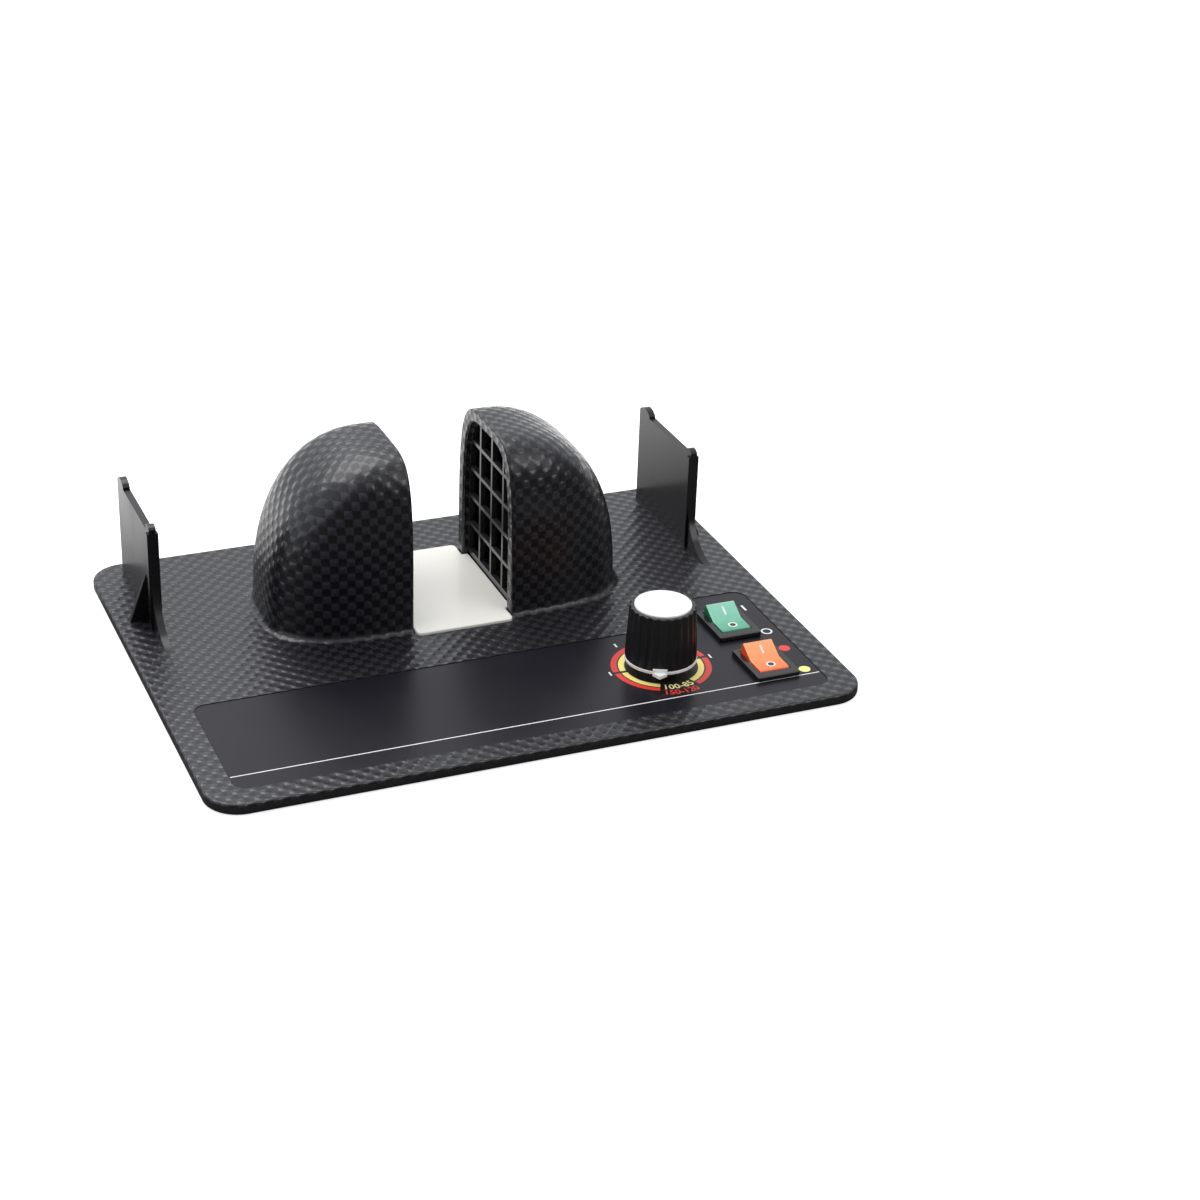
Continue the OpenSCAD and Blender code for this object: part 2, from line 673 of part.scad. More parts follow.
module duct_screws() color("silver") on_deck() for (side = [-1, 1], y = duct_screw_ys)
    translate([side * duct_screw_x, y, under - flange_t]) screw(flange_t + deck_t - 1.5);

heater_z = duct_z + duct_wall;
heater_rim = 2;
heater_in_w = duct_in_w - 2 * seam - 2 * heater_rim;
heater_in_d = duct_in_d - 2 * seam - 2 * heater_rim;

module heater_frame(side) color("tan") on_deck() on_side(side)
    translate([duct_x, hood_y, heater_z]) difference() {
    block(0, 0, 0, duct_in_w - 2 * seam, duct_in_d - 2 * seam, heater_h);
    block(0, 0, -cut, heater_in_w, heater_in_d, heater_h + 2 * cut);
}

module heater_fins(side) color("silver") on_deck() on_side(side) translate([duct_x, hood_y, heater_z]) {
    bar_t = 2.4;
    pitch = heater_in_w / heater_fins;
    for (y = [-0.5, 0, 0.5]) block(0, y * (heater_in_d - bar_t), 1, heater_in_w, bar_t, heater_h - 2);
    for (i = [0:heater_fins - 1])
        block((i + 0.5) * pitch - heater_in_w / 2, 0, 1.5, 0.5, heater_in_d - bar_t, heater_h - 3);
}

module thermal_cutout(side) color("gainsboro") on_deck() on_side(side)
    translate([duct_x, hood_y - duct_in_d / 2 - duct_wall, duct_z + duct_h / 2 - 1]) rotate([90, 0, 0]) {
        cylinder(r = cutout_r, h = cutout_t);
        for (sx = [-1, 1]) translate([sx * 3, 0, cutout_t + 2]) cube([0.8, 4, 6], center = true);
    }

module left_air_duct() air_duct(-1);
module right_air_duct() air_duct(1);
module left_heater_frame() heater_frame(-1);
module right_heater_frame() heater_frame(1);
module left_heater_fins() heater_fins(-1);
module right_heater_fins() heater_fins(1);
module left_thermal_cutout() thermal_cutout(-1);
module right_thermal_cutout() thermal_cutout(1);

// ---------------------------------------------------------------- fans

fan_hole = fan_w / 2 - 5;
hub_top = fan_h - 2;
seat_t = 1.6;

module at_fan(side) on_deck() translate([side * duct_x, hood_y, fan_z]) children();

module fan_frame(side) color([0.1, 0.1, 0.1]) at_fan(side) {
    difference() {
        slab(fan_w, fan_w, fan_h, 3);
        translate([0, 0, -cut]) cylinder(r = fan_bore_r, h = fan_h + 2 * cut, $fn = 96);
        for (sx = [-1, 1], sy = [-1, 1]) translate([sx * fan_hole, sy * fan_hole, -cut])
            cylinder(r = screw_pass_r, h = fan_h + 2 * cut, $fn = 32);
    }
    difference() {
        union() {
            cylinder(r = hub_r, h = seat_t);
            cylinder(r = bearing_r, h = hub_top - 3);
            for (a = [45:90:315]) rotate([0, 0, a]) translate([hub_r - 1, -1, 0])
                cube([fan_bore_r - hub_r + 1.5, 2, seat_t]);
        }
        translate([0, 0, seat_t]) cylinder(r = fan_shaft_r + bearing_gap, h = fan_h);
    }
}

module fan_motor(side) color([0.72, 0.45, 0.2]) at_fan(side) translate([0, 0, seat_t]) difference() {
    cylinder(r = motor_r - 0.6, h = hub_top - seat_t - 3.4);
    translate([0, 0, -cut]) cylinder(r = bearing_r + bearing_gap, h = fan_h);
}

module impeller(side) color([0.14, 0.14, 0.15]) at_fan(side) {
    difference() {
        translate([0, 0, seat_t + 0.6]) cylinder(r = hub_r - 0.3, h = hub_top - seat_t - 0.6);
        translate([0, 0, 0]) cylinder(r = motor_r, h = hub_top - 2);
    }
    translate([0, 0, seat_t + 0.5]) cylinder(r = fan_shaft_r, h = hub_top - seat_t - 1);
    intersection() {
        for (i = [0:fan_blades - 1]) rotate([0, 0, i * 360 / fan_blades])
            translate([(fan_bore_r + hub_r) / 2 - 0.8, 0, seat_t + (hub_top - seat_t) / 2 + 0.3])
            rotate([blade_pitch, 0, 0]) cube([fan_bore_r - hub_r + 2, 12, 1.2], center = true);
        difference() {
            translate([0, 0, seat_t + 0.8])
                cylinder(r = fan_bore_r - fan_tip_gap, h = hub_top - seat_t - 0.8, $fn = 96);
            translate([0, 0, 0]) cylinder(r = motor_r + 0.6, h = fan_h);
        }
    }
}

module fan_screws() color("silver") for (side = [-1, 1]) at_fan(side)
    for (sx = [-1, 1], sy = [-1, 1]) translate([sx * fan_hole, sy * fan_hole, 0]) screw(fan_h + duct_wall);

module left_fan_frame() fan_frame(-1);
module right_fan_frame() fan_frame(1);
module left_fan_motor() fan_motor(-1);
module right_fan_motor() fan_motor(1);
module left_impeller() impeller(-1);
module right_impeller() impeller(1);

// ---------------------------------------------------------------- control board

board_corners = [for (sx = [-1, 1], sy = [-1, 1])
    [board_x + sx * (board_w / 2 - board_inset), board_y + sy * (board_d / 2 - board_inset)]];

module control_board() color("darkgreen") on_deck() difference() {
    block(board_x, board_y, board_z, board_w, board_d, board_t);
    for (p = board_corners) translate([p[0], p[1], board_z - cut])
        cylinder(r = screw_pass_r, h = board_t + 2 * cut, $fn = 32);
}

module board_screws() color("silver") on_deck() for (p = board_corners)
    translate([p[0], p[1], board_top]) mirror([0, 0, 1]) screw(board_t + screw_bite - 1);

sink_w = 24;
sink_t = 2.5;
sink_h = 22;
sink_fins = 7;
sink_fin_t = 1.2;
sink_fin_l = 7;
sink_pitch = (sink_w - sink_fin_t) / (sink_fins - 1);
relay_w = 19;
relay_d = 15;
relay_h = 15;
capacitor_w = 7;
capacitor_d = 14;
capacitor_h = 12;
capacitor_gap = 2;          // between the capacitors, and beside the relay
terminal_w = 10;
terminal_d = 24;
terminal_h = 12;
terminal_pitch = 5.6;
terminal_screw_r = 1.7;
terminal_screw_depth = 6;
terminal_mouth_w = 3.2;
terminal_mouth_h = 3.6;
terminal_mouth_z = 1.5;
board_item_gap = 9;         // between the board's middle line and its large items

board_right_x = board_x + board_w / 2 - board_item_gap;
board_left_x = board_x - board_w / 2 + board_item_gap;

module heat_sink() color("silver") on_deck()
    translate([board_right_x - sink_w / 2, board_y + board_item_gap - sink_t / 2, board_top]) {
        block(0, 0, 0, sink_w, sink_t, sink_h);
        for (i = [0:sink_fins - 1]) block((i - (sink_fins - 1) / 2) * sink_pitch,
                                          (sink_t + sink_fin_l) / 2 - cut, 0,
                                          sink_fin_t, sink_fin_l, sink_h);
    }

module board_capacitor() color("saddlebrown") on_deck() for (i = [0, 1])
    block(board_right_x - relay_w - capacitor_w / 2 - capacitor_gap - i * (capacitor_w + capacitor_gap),
          board_y - board_item_gap, board_top, capacitor_w, capacitor_d, capacitor_h);

module board_relay() color([0.2, 0.3, 0.6]) on_deck()
    block(board_right_x - relay_w / 2, board_y - board_item_gap, board_top, relay_w, relay_d, relay_h);

module terminal_block() color([0.25, 0.5, 0.3]) on_deck() difference() {
    block(board_left_x, board_y, board_top, terminal_w, terminal_d, terminal_h);
    for (i = [-1.5:1.5]) translate([board_left_x, board_y + i * terminal_pitch, board_top]) {
        translate([0, 0, terminal_h - terminal_screw_depth])
            cylinder(r = terminal_screw_r, h = terminal_screw_depth + cut, $fn = 24);
        block(-terminal_w / 2, 0, terminal_mouth_z, terminal_w * 0.6, terminal_mouth_w, terminal_mouth_h);
    }
}

// ---------------------------------------------------------------- housing

// A slot with round ends, its length along X
module slot(l, w) {
    square([l - w, w], center = true);
    for (sx = [-1, 1]) translate([sx * (l - w) / 2, 0]) circle(w / 2, $fn = 24);
}

module intake(side) for (i = [0:intake_slots - 1]) {
    pitch = 2 * fan_bore_r / intake_slots;
    y = (i + 0.5) * pitch - fan_bore_r;
    translate([side * duct_x, hood_y + y, floor_z - housing_wall - cut])
        linear_extrude(housing_wall + 2 * cut)
        slot(2 * sqrt(fan_bore_r * fan_bore_r - y * y), intake_slot_w);
}

board_post_r = 3;
screw_bite = 5;             // depth of a board screw in its post
screw_sink = 0.4;           // play round a housing screw's head

// The walls stand on the base's rim, and the screws clamp them under the deck
module lower_housing() color([0.12, 0.12, 0.13]) on_deck() difference() {
    slab(housing_w, housing_d, housing_h - housing_wall, housing_corner_r, floor_z);
    slab(housing_w - 2 * housing_wall, housing_d - 2 * housing_wall, housing_h,
         housing_corner_r - housing_wall, floor_z - cut);
    translate([0, housing_d / 2 + cut, cord_z]) rotate([90, 0, 0])
        cylinder(r = cord_r + bushing_wall + seam / 2, h = housing_wall + 2 * cut);
}

module housing_base() color([0.12, 0.12, 0.13]) on_deck() difference() {
    union() {
        slab(housing_w, housing_d, housing_wall, housing_corner_r, -deck_z);
        for (p = pillars) translate([p[0], p[1], -deck_z]) cylinder(r = pillar_r, h = pillar_top_z + deck_z);
        for (p = board_corners) translate([p[0], p[1], floor_z - cut])
            cylinder(r = board_post_r, h = board_post_h + cut, $fn = 32);
    }
    for (p = pillars) {
        translate([p[0], p[1], -deck_z - cut])
            cylinder(r = screw_head_r + screw_sink, h = screw_seat_z + deck_z + cut);
        translate([p[0], p[1], screw_seat_z - cut])
            cylinder(r = screw_pass_r, h = pillar_top_z - screw_seat_z + 2 * cut, $fn = 32);
    }
    for (p = board_corners) translate([p[0], p[1], board_z - screw_bite])
        cylinder(r = screw_pilot_r, h = screw_bite + cut, $fn = 32);
    intake(-1);
    intake(1);
}

module housing_screws() color("silver") on_deck() for (p = pillars)
    translate([p[0], p[1], screw_seat_z]) screw(pillar_top_z - screw_seat_z + boss_h - 3);

module cord_bushing() color([0.08, 0.08, 0.08]) on_deck()
    translate([0, housing_d / 2 + bushing_flange_t, cord_z]) rotate([90, 0, 0]) difference() {
        length = bushing_flange_t + housing_wall + bushing_tail;
        union() {
            cylinder(r = cord_r + bushing_wall + bushing_lip, h = bushing_flange_t);
            cylinder(r = cord_r + bushing_wall, h = length);
            translate([0, 0, bushing_flange_t + housing_wall])
                cylinder(r = cord_r + bushing_wall + bushing_barb, h = bushing_barb_l);
        }
        translate([0, 0, -cut]) cylinder(r = cord_r, h = length + 2 * cut);
    }

// ---------------------------------------------------------------- assembly

top_cover();
floor_panel();
left_grille();
right_grille();
left_temple_rest();
right_temple_rest();
control_label();
knob_body();
knob_cap();
knob_pointer_ring();
regulator_shaft();
regulator_body();
regulator_nut();
power_switch_body();
power_rocker();
power_switch_terminals();
range_switch_body();
range_rocker();
range_switch_terminals();
left_air_duct();
right_air_duct();
duct_screws();
left_heater_frame();
right_heater_frame();
left_heater_fins();
right_heater_fins();
left_thermal_cutout();
right_thermal_cutout();
left_fan_frame();
right_fan_frame();
left_fan_motor();
right_fan_motor();
left_impeller();
right_impeller();
fan_screws();
control_board();
heat_sink();
board_capacitor();
board_relay();
terminal_block();
board_screws();
lower_housing();
housing_base();
housing_screws();
cord_bushing();
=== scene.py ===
"""Looks of a counter-built eyeglass frame warmer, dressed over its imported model.

Lengths in the classes are millimetres and heights are measured from the deck's
top face, as on the maker's drawing; one method turns them to the scene's
metres. The stage's floor is the counter that the deck lies on.
"""

from __future__ import annotations

import logging
import math
from dataclasses import dataclass, field
from enum import Enum
from typing import Callable, Iterable, Sequence

import bmesh
import bpy
from bmesh.types import BMEdge, BMesh, BMFace, BMVert
from bpy.types import Material, Node, NodeSocket, NodeTree, Object
from mathutils import Matrix, Vector

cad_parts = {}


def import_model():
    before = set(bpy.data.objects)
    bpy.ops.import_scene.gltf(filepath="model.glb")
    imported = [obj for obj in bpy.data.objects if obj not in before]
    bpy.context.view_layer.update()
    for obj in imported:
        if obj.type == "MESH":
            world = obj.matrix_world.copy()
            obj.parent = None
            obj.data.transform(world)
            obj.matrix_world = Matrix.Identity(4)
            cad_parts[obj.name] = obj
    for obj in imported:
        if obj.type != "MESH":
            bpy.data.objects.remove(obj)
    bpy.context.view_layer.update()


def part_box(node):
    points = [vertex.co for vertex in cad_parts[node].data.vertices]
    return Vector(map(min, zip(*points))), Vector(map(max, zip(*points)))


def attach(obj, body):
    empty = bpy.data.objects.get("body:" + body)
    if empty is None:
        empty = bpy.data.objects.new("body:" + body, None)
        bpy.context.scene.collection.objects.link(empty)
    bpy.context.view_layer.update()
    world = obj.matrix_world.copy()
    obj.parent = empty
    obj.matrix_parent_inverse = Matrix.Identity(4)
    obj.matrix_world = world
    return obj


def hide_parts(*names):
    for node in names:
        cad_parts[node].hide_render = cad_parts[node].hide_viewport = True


LOG = logging.getLogger("frame_warmer")
MM = 0.001
SMOOTH_ANGLE = math.radians(32)
WELD = 1e-6
WHITE = (1.0, 1.0, 1.0, 1.0)
QUARTERS = ((1, 1), (-1, 1), (-1, -1), (1, -1))
Spot = tuple[float, float]
Triple = tuple[float, float, float]
Shape = Callable[[BMesh], None]


class Body(Enum):
    """The rigid bodies that pieces ride on."""

    CASING = "casing"
    KNOB = "knob"
    POWER = "power_rocker"
    RANGE = "range_rocker"


class Side(Enum):
    """The two mirrored sides of the warmer."""

    LEFT = -1
    RIGHT = 1

    @property
    def word(self) -> str:
        """Name of the side, as the nodes spell it."""
        return self.name.lower()


class Cut(Enum):
    """What a second solid does to the first."""

    ADD = "UNION"
    TAKE = "DIFFERENCE"


# ------------------------------------------------------------------ small tools


def linear(code: str) -> tuple[float, float, float, float]:
    """Turns an sRGB hex colour to linear values.

    Args:
        code: Six hex digits after a hash.

    Returns:
        The linear red, green and blue, and an alpha of 1.
    """
    shares = [int(code[i : i + 2], 16) / 255 for i in (1, 3, 5)]
    return (*(s / 12.92 if s <= 0.04045 else ((s + 0.055) / 1.055) ** 2.4 for s in shares), 1.0)


def add(tree: NodeTree, kind: str, *values: object, **named: object) -> Node:
    """Adds a node with its settings and links.

    Args:
        tree: Node tree to add to.
        kind: Node type without its ShaderNode, such as Bump.
        values: What its first inputs get, in their order. A node stands for its
            first output.
        named: Its properties, and what more inputs get, by their names with
            underscores for spaces.

    Returns:
        The new node.
    """
    made = tree.nodes.new("ShaderNode" + kind)
    inputs = dict(enumerate(values))
    for key, value in named.items():
        if hasattr(made, key):
            setattr(made, key, value)
        else:
            inputs[key.replace("_", " ")] = value
    for key, value in inputs.items():
        value = value.outputs[0] if isinstance(value, Node) else value
        if isinstance(value, NodeSocket):
            tree.links.new(value, made.inputs[key])
        else:
            made.inputs[key].default_value = value
    return made


def make_object(name: str, bm: BMesh) -> Object:
    """Turns a bmesh in metres to a linked object and frees it.

    Args:
        name: Name of the object and its mesh.
        bm: The mesh.

    Returns:
        The object.
    """
    mesh = bpy.data.meshes.new(name)
    bm.to_mesh(mesh)
    bm.free()
    made = bpy.data.objects.new(name, mesh)
    bpy.context.scene.collection.objects.link(made)
    return made


def bake_modifiers(piece: Object) -> None:
    """Replaces a piece's mesh with its modified one.

    Args:
        piece: Piece whose modifiers are used up.
    """
    view = bpy.context.evaluated_depsgraph_get()
    solid = bpy.data.meshes.new_from_object(piece.evaluated_get(view))
    old = piece.data
    piece.modifiers.clear()
    piece.data = solid
    bpy.data.meshes.remove(old)


def combine(target: Object, tool: Object, cut: Cut) -> None:
    """Adds a closed solid to another or takes it away.

    Args:
        target: Solid that is changed.
        tool: Solid that is used up.
        cut: Which of the two it is.
    """
    step = target.modifiers.new(cut.name, "BOOLEAN")
    step.operation, step.solver, step.object = cut.value, "EXACT", tool
    bpy.context.view_layer.update()
    bake_modifiers(target)
    bpy.data.objects.remove(tool)


def shade(piece: Object) -> None:
    """Shades a piece smooth, with sharp edges kept and flat faces left flat.

    Args:
        piece: Piece to shade.
    """
    piece.data.shade_smooth()
    piece.data.set_sharp_from_angle(angle=SMOOTH_ANGLE)
    piece.modifiers.new("weigh", "WEIGHTED_NORMAL").keep_sharp = True
    bake_modifiers(piece)


def place(piece: Object, finish: Material, body: Body, node: str = "") -> None:
    """Dresses a finished piece, sets it on its body and reports it.

    Args:
        piece: Piece with its place in its mesh.
        finish: Material of the whole piece.
        body: Body that it rides on.
        node: CAD node that it stands for, if any.
    """
    piece.data.materials.clear()
    piece.data.materials.append(finish)
    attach(piece, body.value)
    if node:
        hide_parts(node)
    LOG.info("%s: %d faces, on %s", piece.name, len(piece.data.polygons), body.value)


def soften(bm: BMesh, edges: Iterable[BMEdge], radius: float, steps: int) -> None:
    """Rounds edges of a mesh.

    Args:
        bm: The mesh.
        edges: Its edges to round.
        radius: Distance of the round from the edge.
        steps: Faces across the round.
    """
    bmesh.ops.bevel(bm, geom=list(edges), offset=radius, offset_type="OFFSET", segments=steps,
                    profile=0.5, affect="EDGES", material=-1, clamp_overlap=True)


def block(bm: BMesh, size: Triple, middle: Triple, corner: float = 0.0, edge: float = 0.0) -> None:
    """Adds a box with round upright corners and softened edges.

    Args:
        bm: Mesh to add to, in millimetres.
        size: Width, depth and height.
        middle: Centre of the box.
        corner: Radius of the upright corners.
        edge: Radius of the edges round the top and bottom faces.
    """
    made = bmesh.ops.create_cube(bm, size=1.0)["verts"]
    bmesh.ops.scale(bm, vec=size, verts=made)
    bmesh.ops.translate(bm, vec=middle, verts=made)
    if corner:
        edges = {e for v in made for e in v.link_edges}
        upright = [e for e in edges if abs(e.verts[0].co.z - e.verts[1].co.z) > size[2] / 2]
        soften(bm, upright, corner, max(4, int(corner * 1.2)))
    if edge:
        reach = [s / 2 + 0.001 for s in size]
        flat = [
            e for e in bm.edges
            if len(e.link_faces) == 2 and e.calc_face_angle() > math.radians(60)
            and all(abs(v.co[i] - middle[i]) <= reach[i] for v in e.verts for i in range(3))
        ]
        soften(bm, flat, edge, 3)


def rod(bm: BMesh, radius: float, low: float, high: float, at: Spot, sides: int = 64) -> None:
    """Adds an upright closed cylinder.

    Args:
        bm: Mesh to add to.
        radius: Radius of the cylinder.
        low: Height of its foot.
        high: Height of its head.
        at: Place of its axis.
        sides: Faces round it.
    """
    spot = Matrix.Translation((*at, (low + high) / 2))
    bmesh.ops.create_cone(bm, cap_ends=True, segments=sides, radius1=radius, radius2=radius,
                          depth=high - low, matrix=spot)


def lathe(bm: BMesh, profile: Sequence[Spot], at: Spot, steps: int = 96) -> None:
    """Spins an outline of radius and height about an upright axis.

    Args:
        bm: Mesh to add to.
        profile: Points of the outline.
        at: Place of the axis.
        steps: Faces round the axis.
    """
    verts = [bm.verts.new((at[0] + r, at[1], z)) for r, z in profile]
    edges = [bm.edges.new(pair) for pair in zip(verts, verts[1:])]
    bmesh.ops.spin(bm, geom=verts + edges, cent=(*at, 0), axis=(0, 0, 1), angle=2 * math.pi,
                   steps=steps, use_merge=True)
    bmesh.ops.remove_doubles(bm, verts=bm.verts, dist=WELD)
    bmesh.ops.recalc_face_normals(bm, faces=bm.faces)


def washer(bm: BMesh, radii: Spot, low: float, high: float, at: Spot) -> None:
    """Adds a flat closed ring.

    Args:
        bm: Mesh to add to.
        radii: Inner and outer radius.
        low: Height of its underside.
        high: Height of its top.
        at: Place of its axis.
    """
    inner, outer = radii
    lathe(bm, [(inner, low), (outer, low), (outer, high), (inner, high), (inner, low)], at, 120)


def rounded_profile(corners: Sequence[Triple], steps: int = 5) -> list[Spot]:
    """Rounds the corners of an open outline.

    Args:
        corners: Points with the radius of the round at each.
        steps: Pieces that each round is made of.

    Returns:
        The outline's points.
    """
    points: list[Spot] = []
    last = len(corners) - 1
    for i, (x, z, radius) in enumerate(corners):
        if radius <= 0 or i in (0, last):
            points.append((x, z))
            continue
        here = Vector((x, z))
        before, after = (
            (Vector(corners[j][:2]) - here).normalized() for j in (i - 1, i + 1)
        )
        for share in (k / steps for k in range(steps + 1)):
            pull = (1 - share) ** 2 * before + share**2 * after
            points.append(tuple(here + radius * pull))
    return points


@dataclass
class DeckPart:
    """A sub-assembly that is drawn in millimetres over the deck's top face."""

    deck_z: float

    def solid(self, name: str, shape: Shape) -> Object:
        """Turns a drawing to an object in the frame's metres.

        Args:
            name: Name of the object.
            shape: Draws in an empty mesh.

        Returns:
            The object.
        """
        bm = bmesh.new()
        shape(bm)
        bmesh.ops.recalc_face_normals(bm, faces=bm.faces)
        bmesh.ops.translate(bm, vec=(0, 0, self.deck_z / MM), verts=bm.verts)
        bmesh.ops.scale(bm, vec=(MM, MM, MM), verts=bm.verts)
        return make_object(name, bm)

    def piece(self, name: str, shape: Shape, finish: Material, body: Body, slot: str,
              node: str = "") -> None:
        """Makes a drawing a dressed piece, and shades it unless it is a print.

        Args:
            name: Name of the piece.
            shape: Draws in an empty mesh.
            finish: Material of the piece.
            body: Body that it rides on.
            slot: Record slot of the finish; not used.
            node: CAD node that it stands for; a print stands for none.
        """
        made = self.solid(name, shape)
        if node:
            shade(made)
        place(made, finish, body, node)


# ------------------------------------------------------------------ finishes


@dataclass(frozen=True)
class Finish:
    """What all finishes share: a name, and a material round a shader of their own."""

    name: str

    def build(self) -> Material:
        """Makes the material.

        Returns:
            The material.
        """
        material = bpy.data.materials.new(self.name)
        material.use_nodes = True
        tree = material.node_tree
        tree.nodes.clear()
        add(tree, "OutputMaterial", self.surface(tree))
        return material

    def surface(self, tree: NodeTree) -> Node:
        """Adds the finish's own nodes.

        Args:
            tree: Tree of the material.

        Returns:
            The shader.
        """
        raise NotImplementedError


@dataclass(frozen=True)
class Moulding(Finish):
    """Injection moulded plastic, with the slight waviness and grain of its mould.

    The grain breaks the highlight up, and the gloss drifts where hands polish it.
    """

    colour: str
    roughness: float = 0.4
    grain_mm: float = 0.5
    grain_depth_mm: float = 0.02
    drift: float = 0.06
    ior: float = 1.5
    coat: float = 0.0
    mottle: float = 0.06
    patch_mm: float = 22.0

    def surface(self, tree: NodeTree) -> Node:
        """Adds the plastic's own nodes.

        Args:
            tree: Tree of the material.

        Returns:
            The shader.
        """
        spot = add(tree, "TexCoord").outputs["Object"]
        grain, patches = (
            add(tree, "TexNoise", spot, Scale=1 / (size * MM), Detail=detail, Roughness=roughness)
            for size, detail, roughness in ((self.grain_mm, 3.0, 0.6), (self.patch_mm, 4.0, 0.5))
        )
        ends = (self.roughness - self.drift, self.roughness + self.drift)
        gloss = add(tree, "MapRange", patches, 0.3, 0.7, *ends)
        dark, light = (
            (*(min(1.0, c * share) for c in linear(self.colour)[:3]), 1.0)
            for share in (1 - self.mottle, 1 + self.mottle)
        )
        tone = add(tree, "MixRGB", patches, dark, light)
        bump = add(tree, "Bump", Strength=0.6, Distance=self.grain_depth_mm * MM, Height=grain)
        return add(tree, "BsdfPrincipled", tone, IOR=self.ior, Coat_Weight=self.coat,
                   Coat_Roughness=0.12, Roughness=gloss, Normal=bump)


@dataclass(frozen=True)
class Ink(Moulding):
    """Screen printed ink: flat, a little uneven and slightly dull."""

    roughness: float = 0.45
    grain_mm: float = 0.25
    grain_depth_mm: float = 0.01
    mottle: float = 0.04


@dataclass(frozen=True)
class WovenCover(Finish):
    """ABS moulding under a glossy film with a carbon-look plain weave.

    Small square tows, turned a quarter from one to the next, catch the light in
    turn, so the deck looks like a fine chequer of dark and darker squares. The
    film ends at the deck's edge, whose sides stay plain.
    """

    name: str = "carbon_look_film_on_abs"
    edge_z: float = 0.0  # of the film's lower edge, in metres
    dark: str = "#08080a"
    bright: str = "#26252b"
    plain: str = "#161518"
    cell_mm: float = 2.8
    depth_mm: float = 0.24
    crown: Spot = (1.4, -0.4)
    gloss: Spot = (0.46, 0.56)
    roughness: Spot = (0.35, 0.23)
    level_share: float = 0.72

    def surface(self, tree: NodeTree) -> Node:
        """Adds the film's own nodes.

        Args:
            tree: Tree of the material.

        Returns:
            The shader.
        """
        coords = add(tree, "TexCoord").outputs["Object"]
        flat = self._projected(tree, coords)
        turn = add(tree, "TexChecker", flat, Scale=1 / (self.cell_mm * MM)).outputs["Fac"]
        height = add(tree, "SeparateXYZ", coords).outputs["Z"]
        covered = add(tree, "Math", height, self.edge_z, operation="GREATER_THAN")
        woven = add(tree, "MixRGB", turn, linear(self.dark), linear(self.bright))
        hue = add(tree, "MixRGB", covered, linear(self.plain), woven)
        signed = add(tree, "Math", turn, *self.crown, operation="MULTIPLY_ADD")
        tows = add(tree, "Math", self._pillow(tree, flat), signed, operation="MULTIPLY")
        raised = add(tree, "Math", tows, covered, operation="MULTIPLY")
        bump = add(tree, "Bump", Strength=0.8, Distance=self.depth_mm * MM, Height=raised)
        dull, shine = (
            add(tree, "MapRange", turn, 0.0, 1.0, *ends) for ends in (self.roughness, self.gloss)
        )
        return add(tree, "BsdfPrincipled", hue, IOR=1.5, Coat_Weight=0.15, Coat_Roughness=0.25,
                   Specular_IOR_Level=shine, Roughness=dull, Normal=bump)

    def _projected(self, tree: NodeTree, coords: NodeSocket) -> Node:
        """Lays the weave on the surface from the axis that it faces most.

        Args:
            tree: Tree of the material.
            coords: Place on the piece.

        Returns:
            The place on the weave.
        """
        normal = add(tree, "NewGeometry").outputs["True Normal"]
        facing = add(tree, "VectorMath", normal, operation="ABSOLUTE")
        share = add(tree, "SeparateXYZ", facing).outputs
        spot = add(tree, "SeparateXYZ", coords).outputs
        # Half a square off zero keeps a flat face away from where the chequer turns.
        half = self.cell_mm * MM / 2
        top, front, side = (
            add(tree, "CombineXYZ", spot[a], spot[b], half) for a, b in ("XY", "XZ", "YZ")
        )
        side_on = add(tree, "Math", share["X"], share["Y"], operation="GREATER_THAN")
        level = add(tree, "Math", share["Z"], self.level_share, operation="GREATER_THAN")
        upright = add(tree, "MixRGB", side_on, front, side)
        return add(tree, "MixRGB", level, upright, top)

    def _pillow(self, tree: NodeTree, flat: Node) -> Node:
        """Gives each square of the weave its low crown.

        Args:
            tree: Tree of the material.
            flat: The place on the weave.

        Returns:
            A value of 1 in the middle of a square and 0 at its edge.
        """
        cells = add(tree, "VectorMath", flat, operation="SCALE", Scale=1 / (self.cell_mm * MM))
        split = add(tree, "SeparateXYZ", cells).outputs
        waves = []
        for axis in "XY":
            whole = add(tree, "Math", split[axis], operation="FRACT")
            turned = add(tree, "Math", whole, math.pi, operation="MULTIPLY")
            waves.append(add(tree, "Math", turned, operation="SINE"))
        return add(tree, "Math", *waves, operation="MULTIPLY")


@dataclass(frozen=True)
class Metal(Finish):
    """Bare or plated metal, with fine lines along one axis from how it was rolled.

    The lines stretch its highlight, and the zinc's patches dull it here and there.
    """

    colour: str
    roughness: float = 0.35
    line_mm: float = 0.25
    along: int = 0

    def surface(self, tree: NodeTree) -> Node:
        """Adds the metal's own nodes.

        Args:
            tree: Tree of the material.

        Returns:
            The shader.
        """
        stretch = [1.0, 1.0, 1.0]
        stretch[self.along] = 0.04
        drawn = add(tree, "Mapping", add(tree, "TexCoord").outputs["Object"], Scale=stretch)
        lines = add(tree, "TexNoise", drawn, Scale=1 / (self.line_mm * MM), Detail=2.0)
        ends = (self.roughness - 0.08, self.roughness + 0.12)
        gloss = add(tree, "MapRange", lines, 0.0, 1.0, *ends)
        bump = add(tree, "Bump", Strength=0.3, Distance=0.02 * MM, Height=lines)
        return add(tree, "BsdfPrincipled", linear(self.colour), Metallic=1.0, Roughness=gloss,
                   Normal=bump)


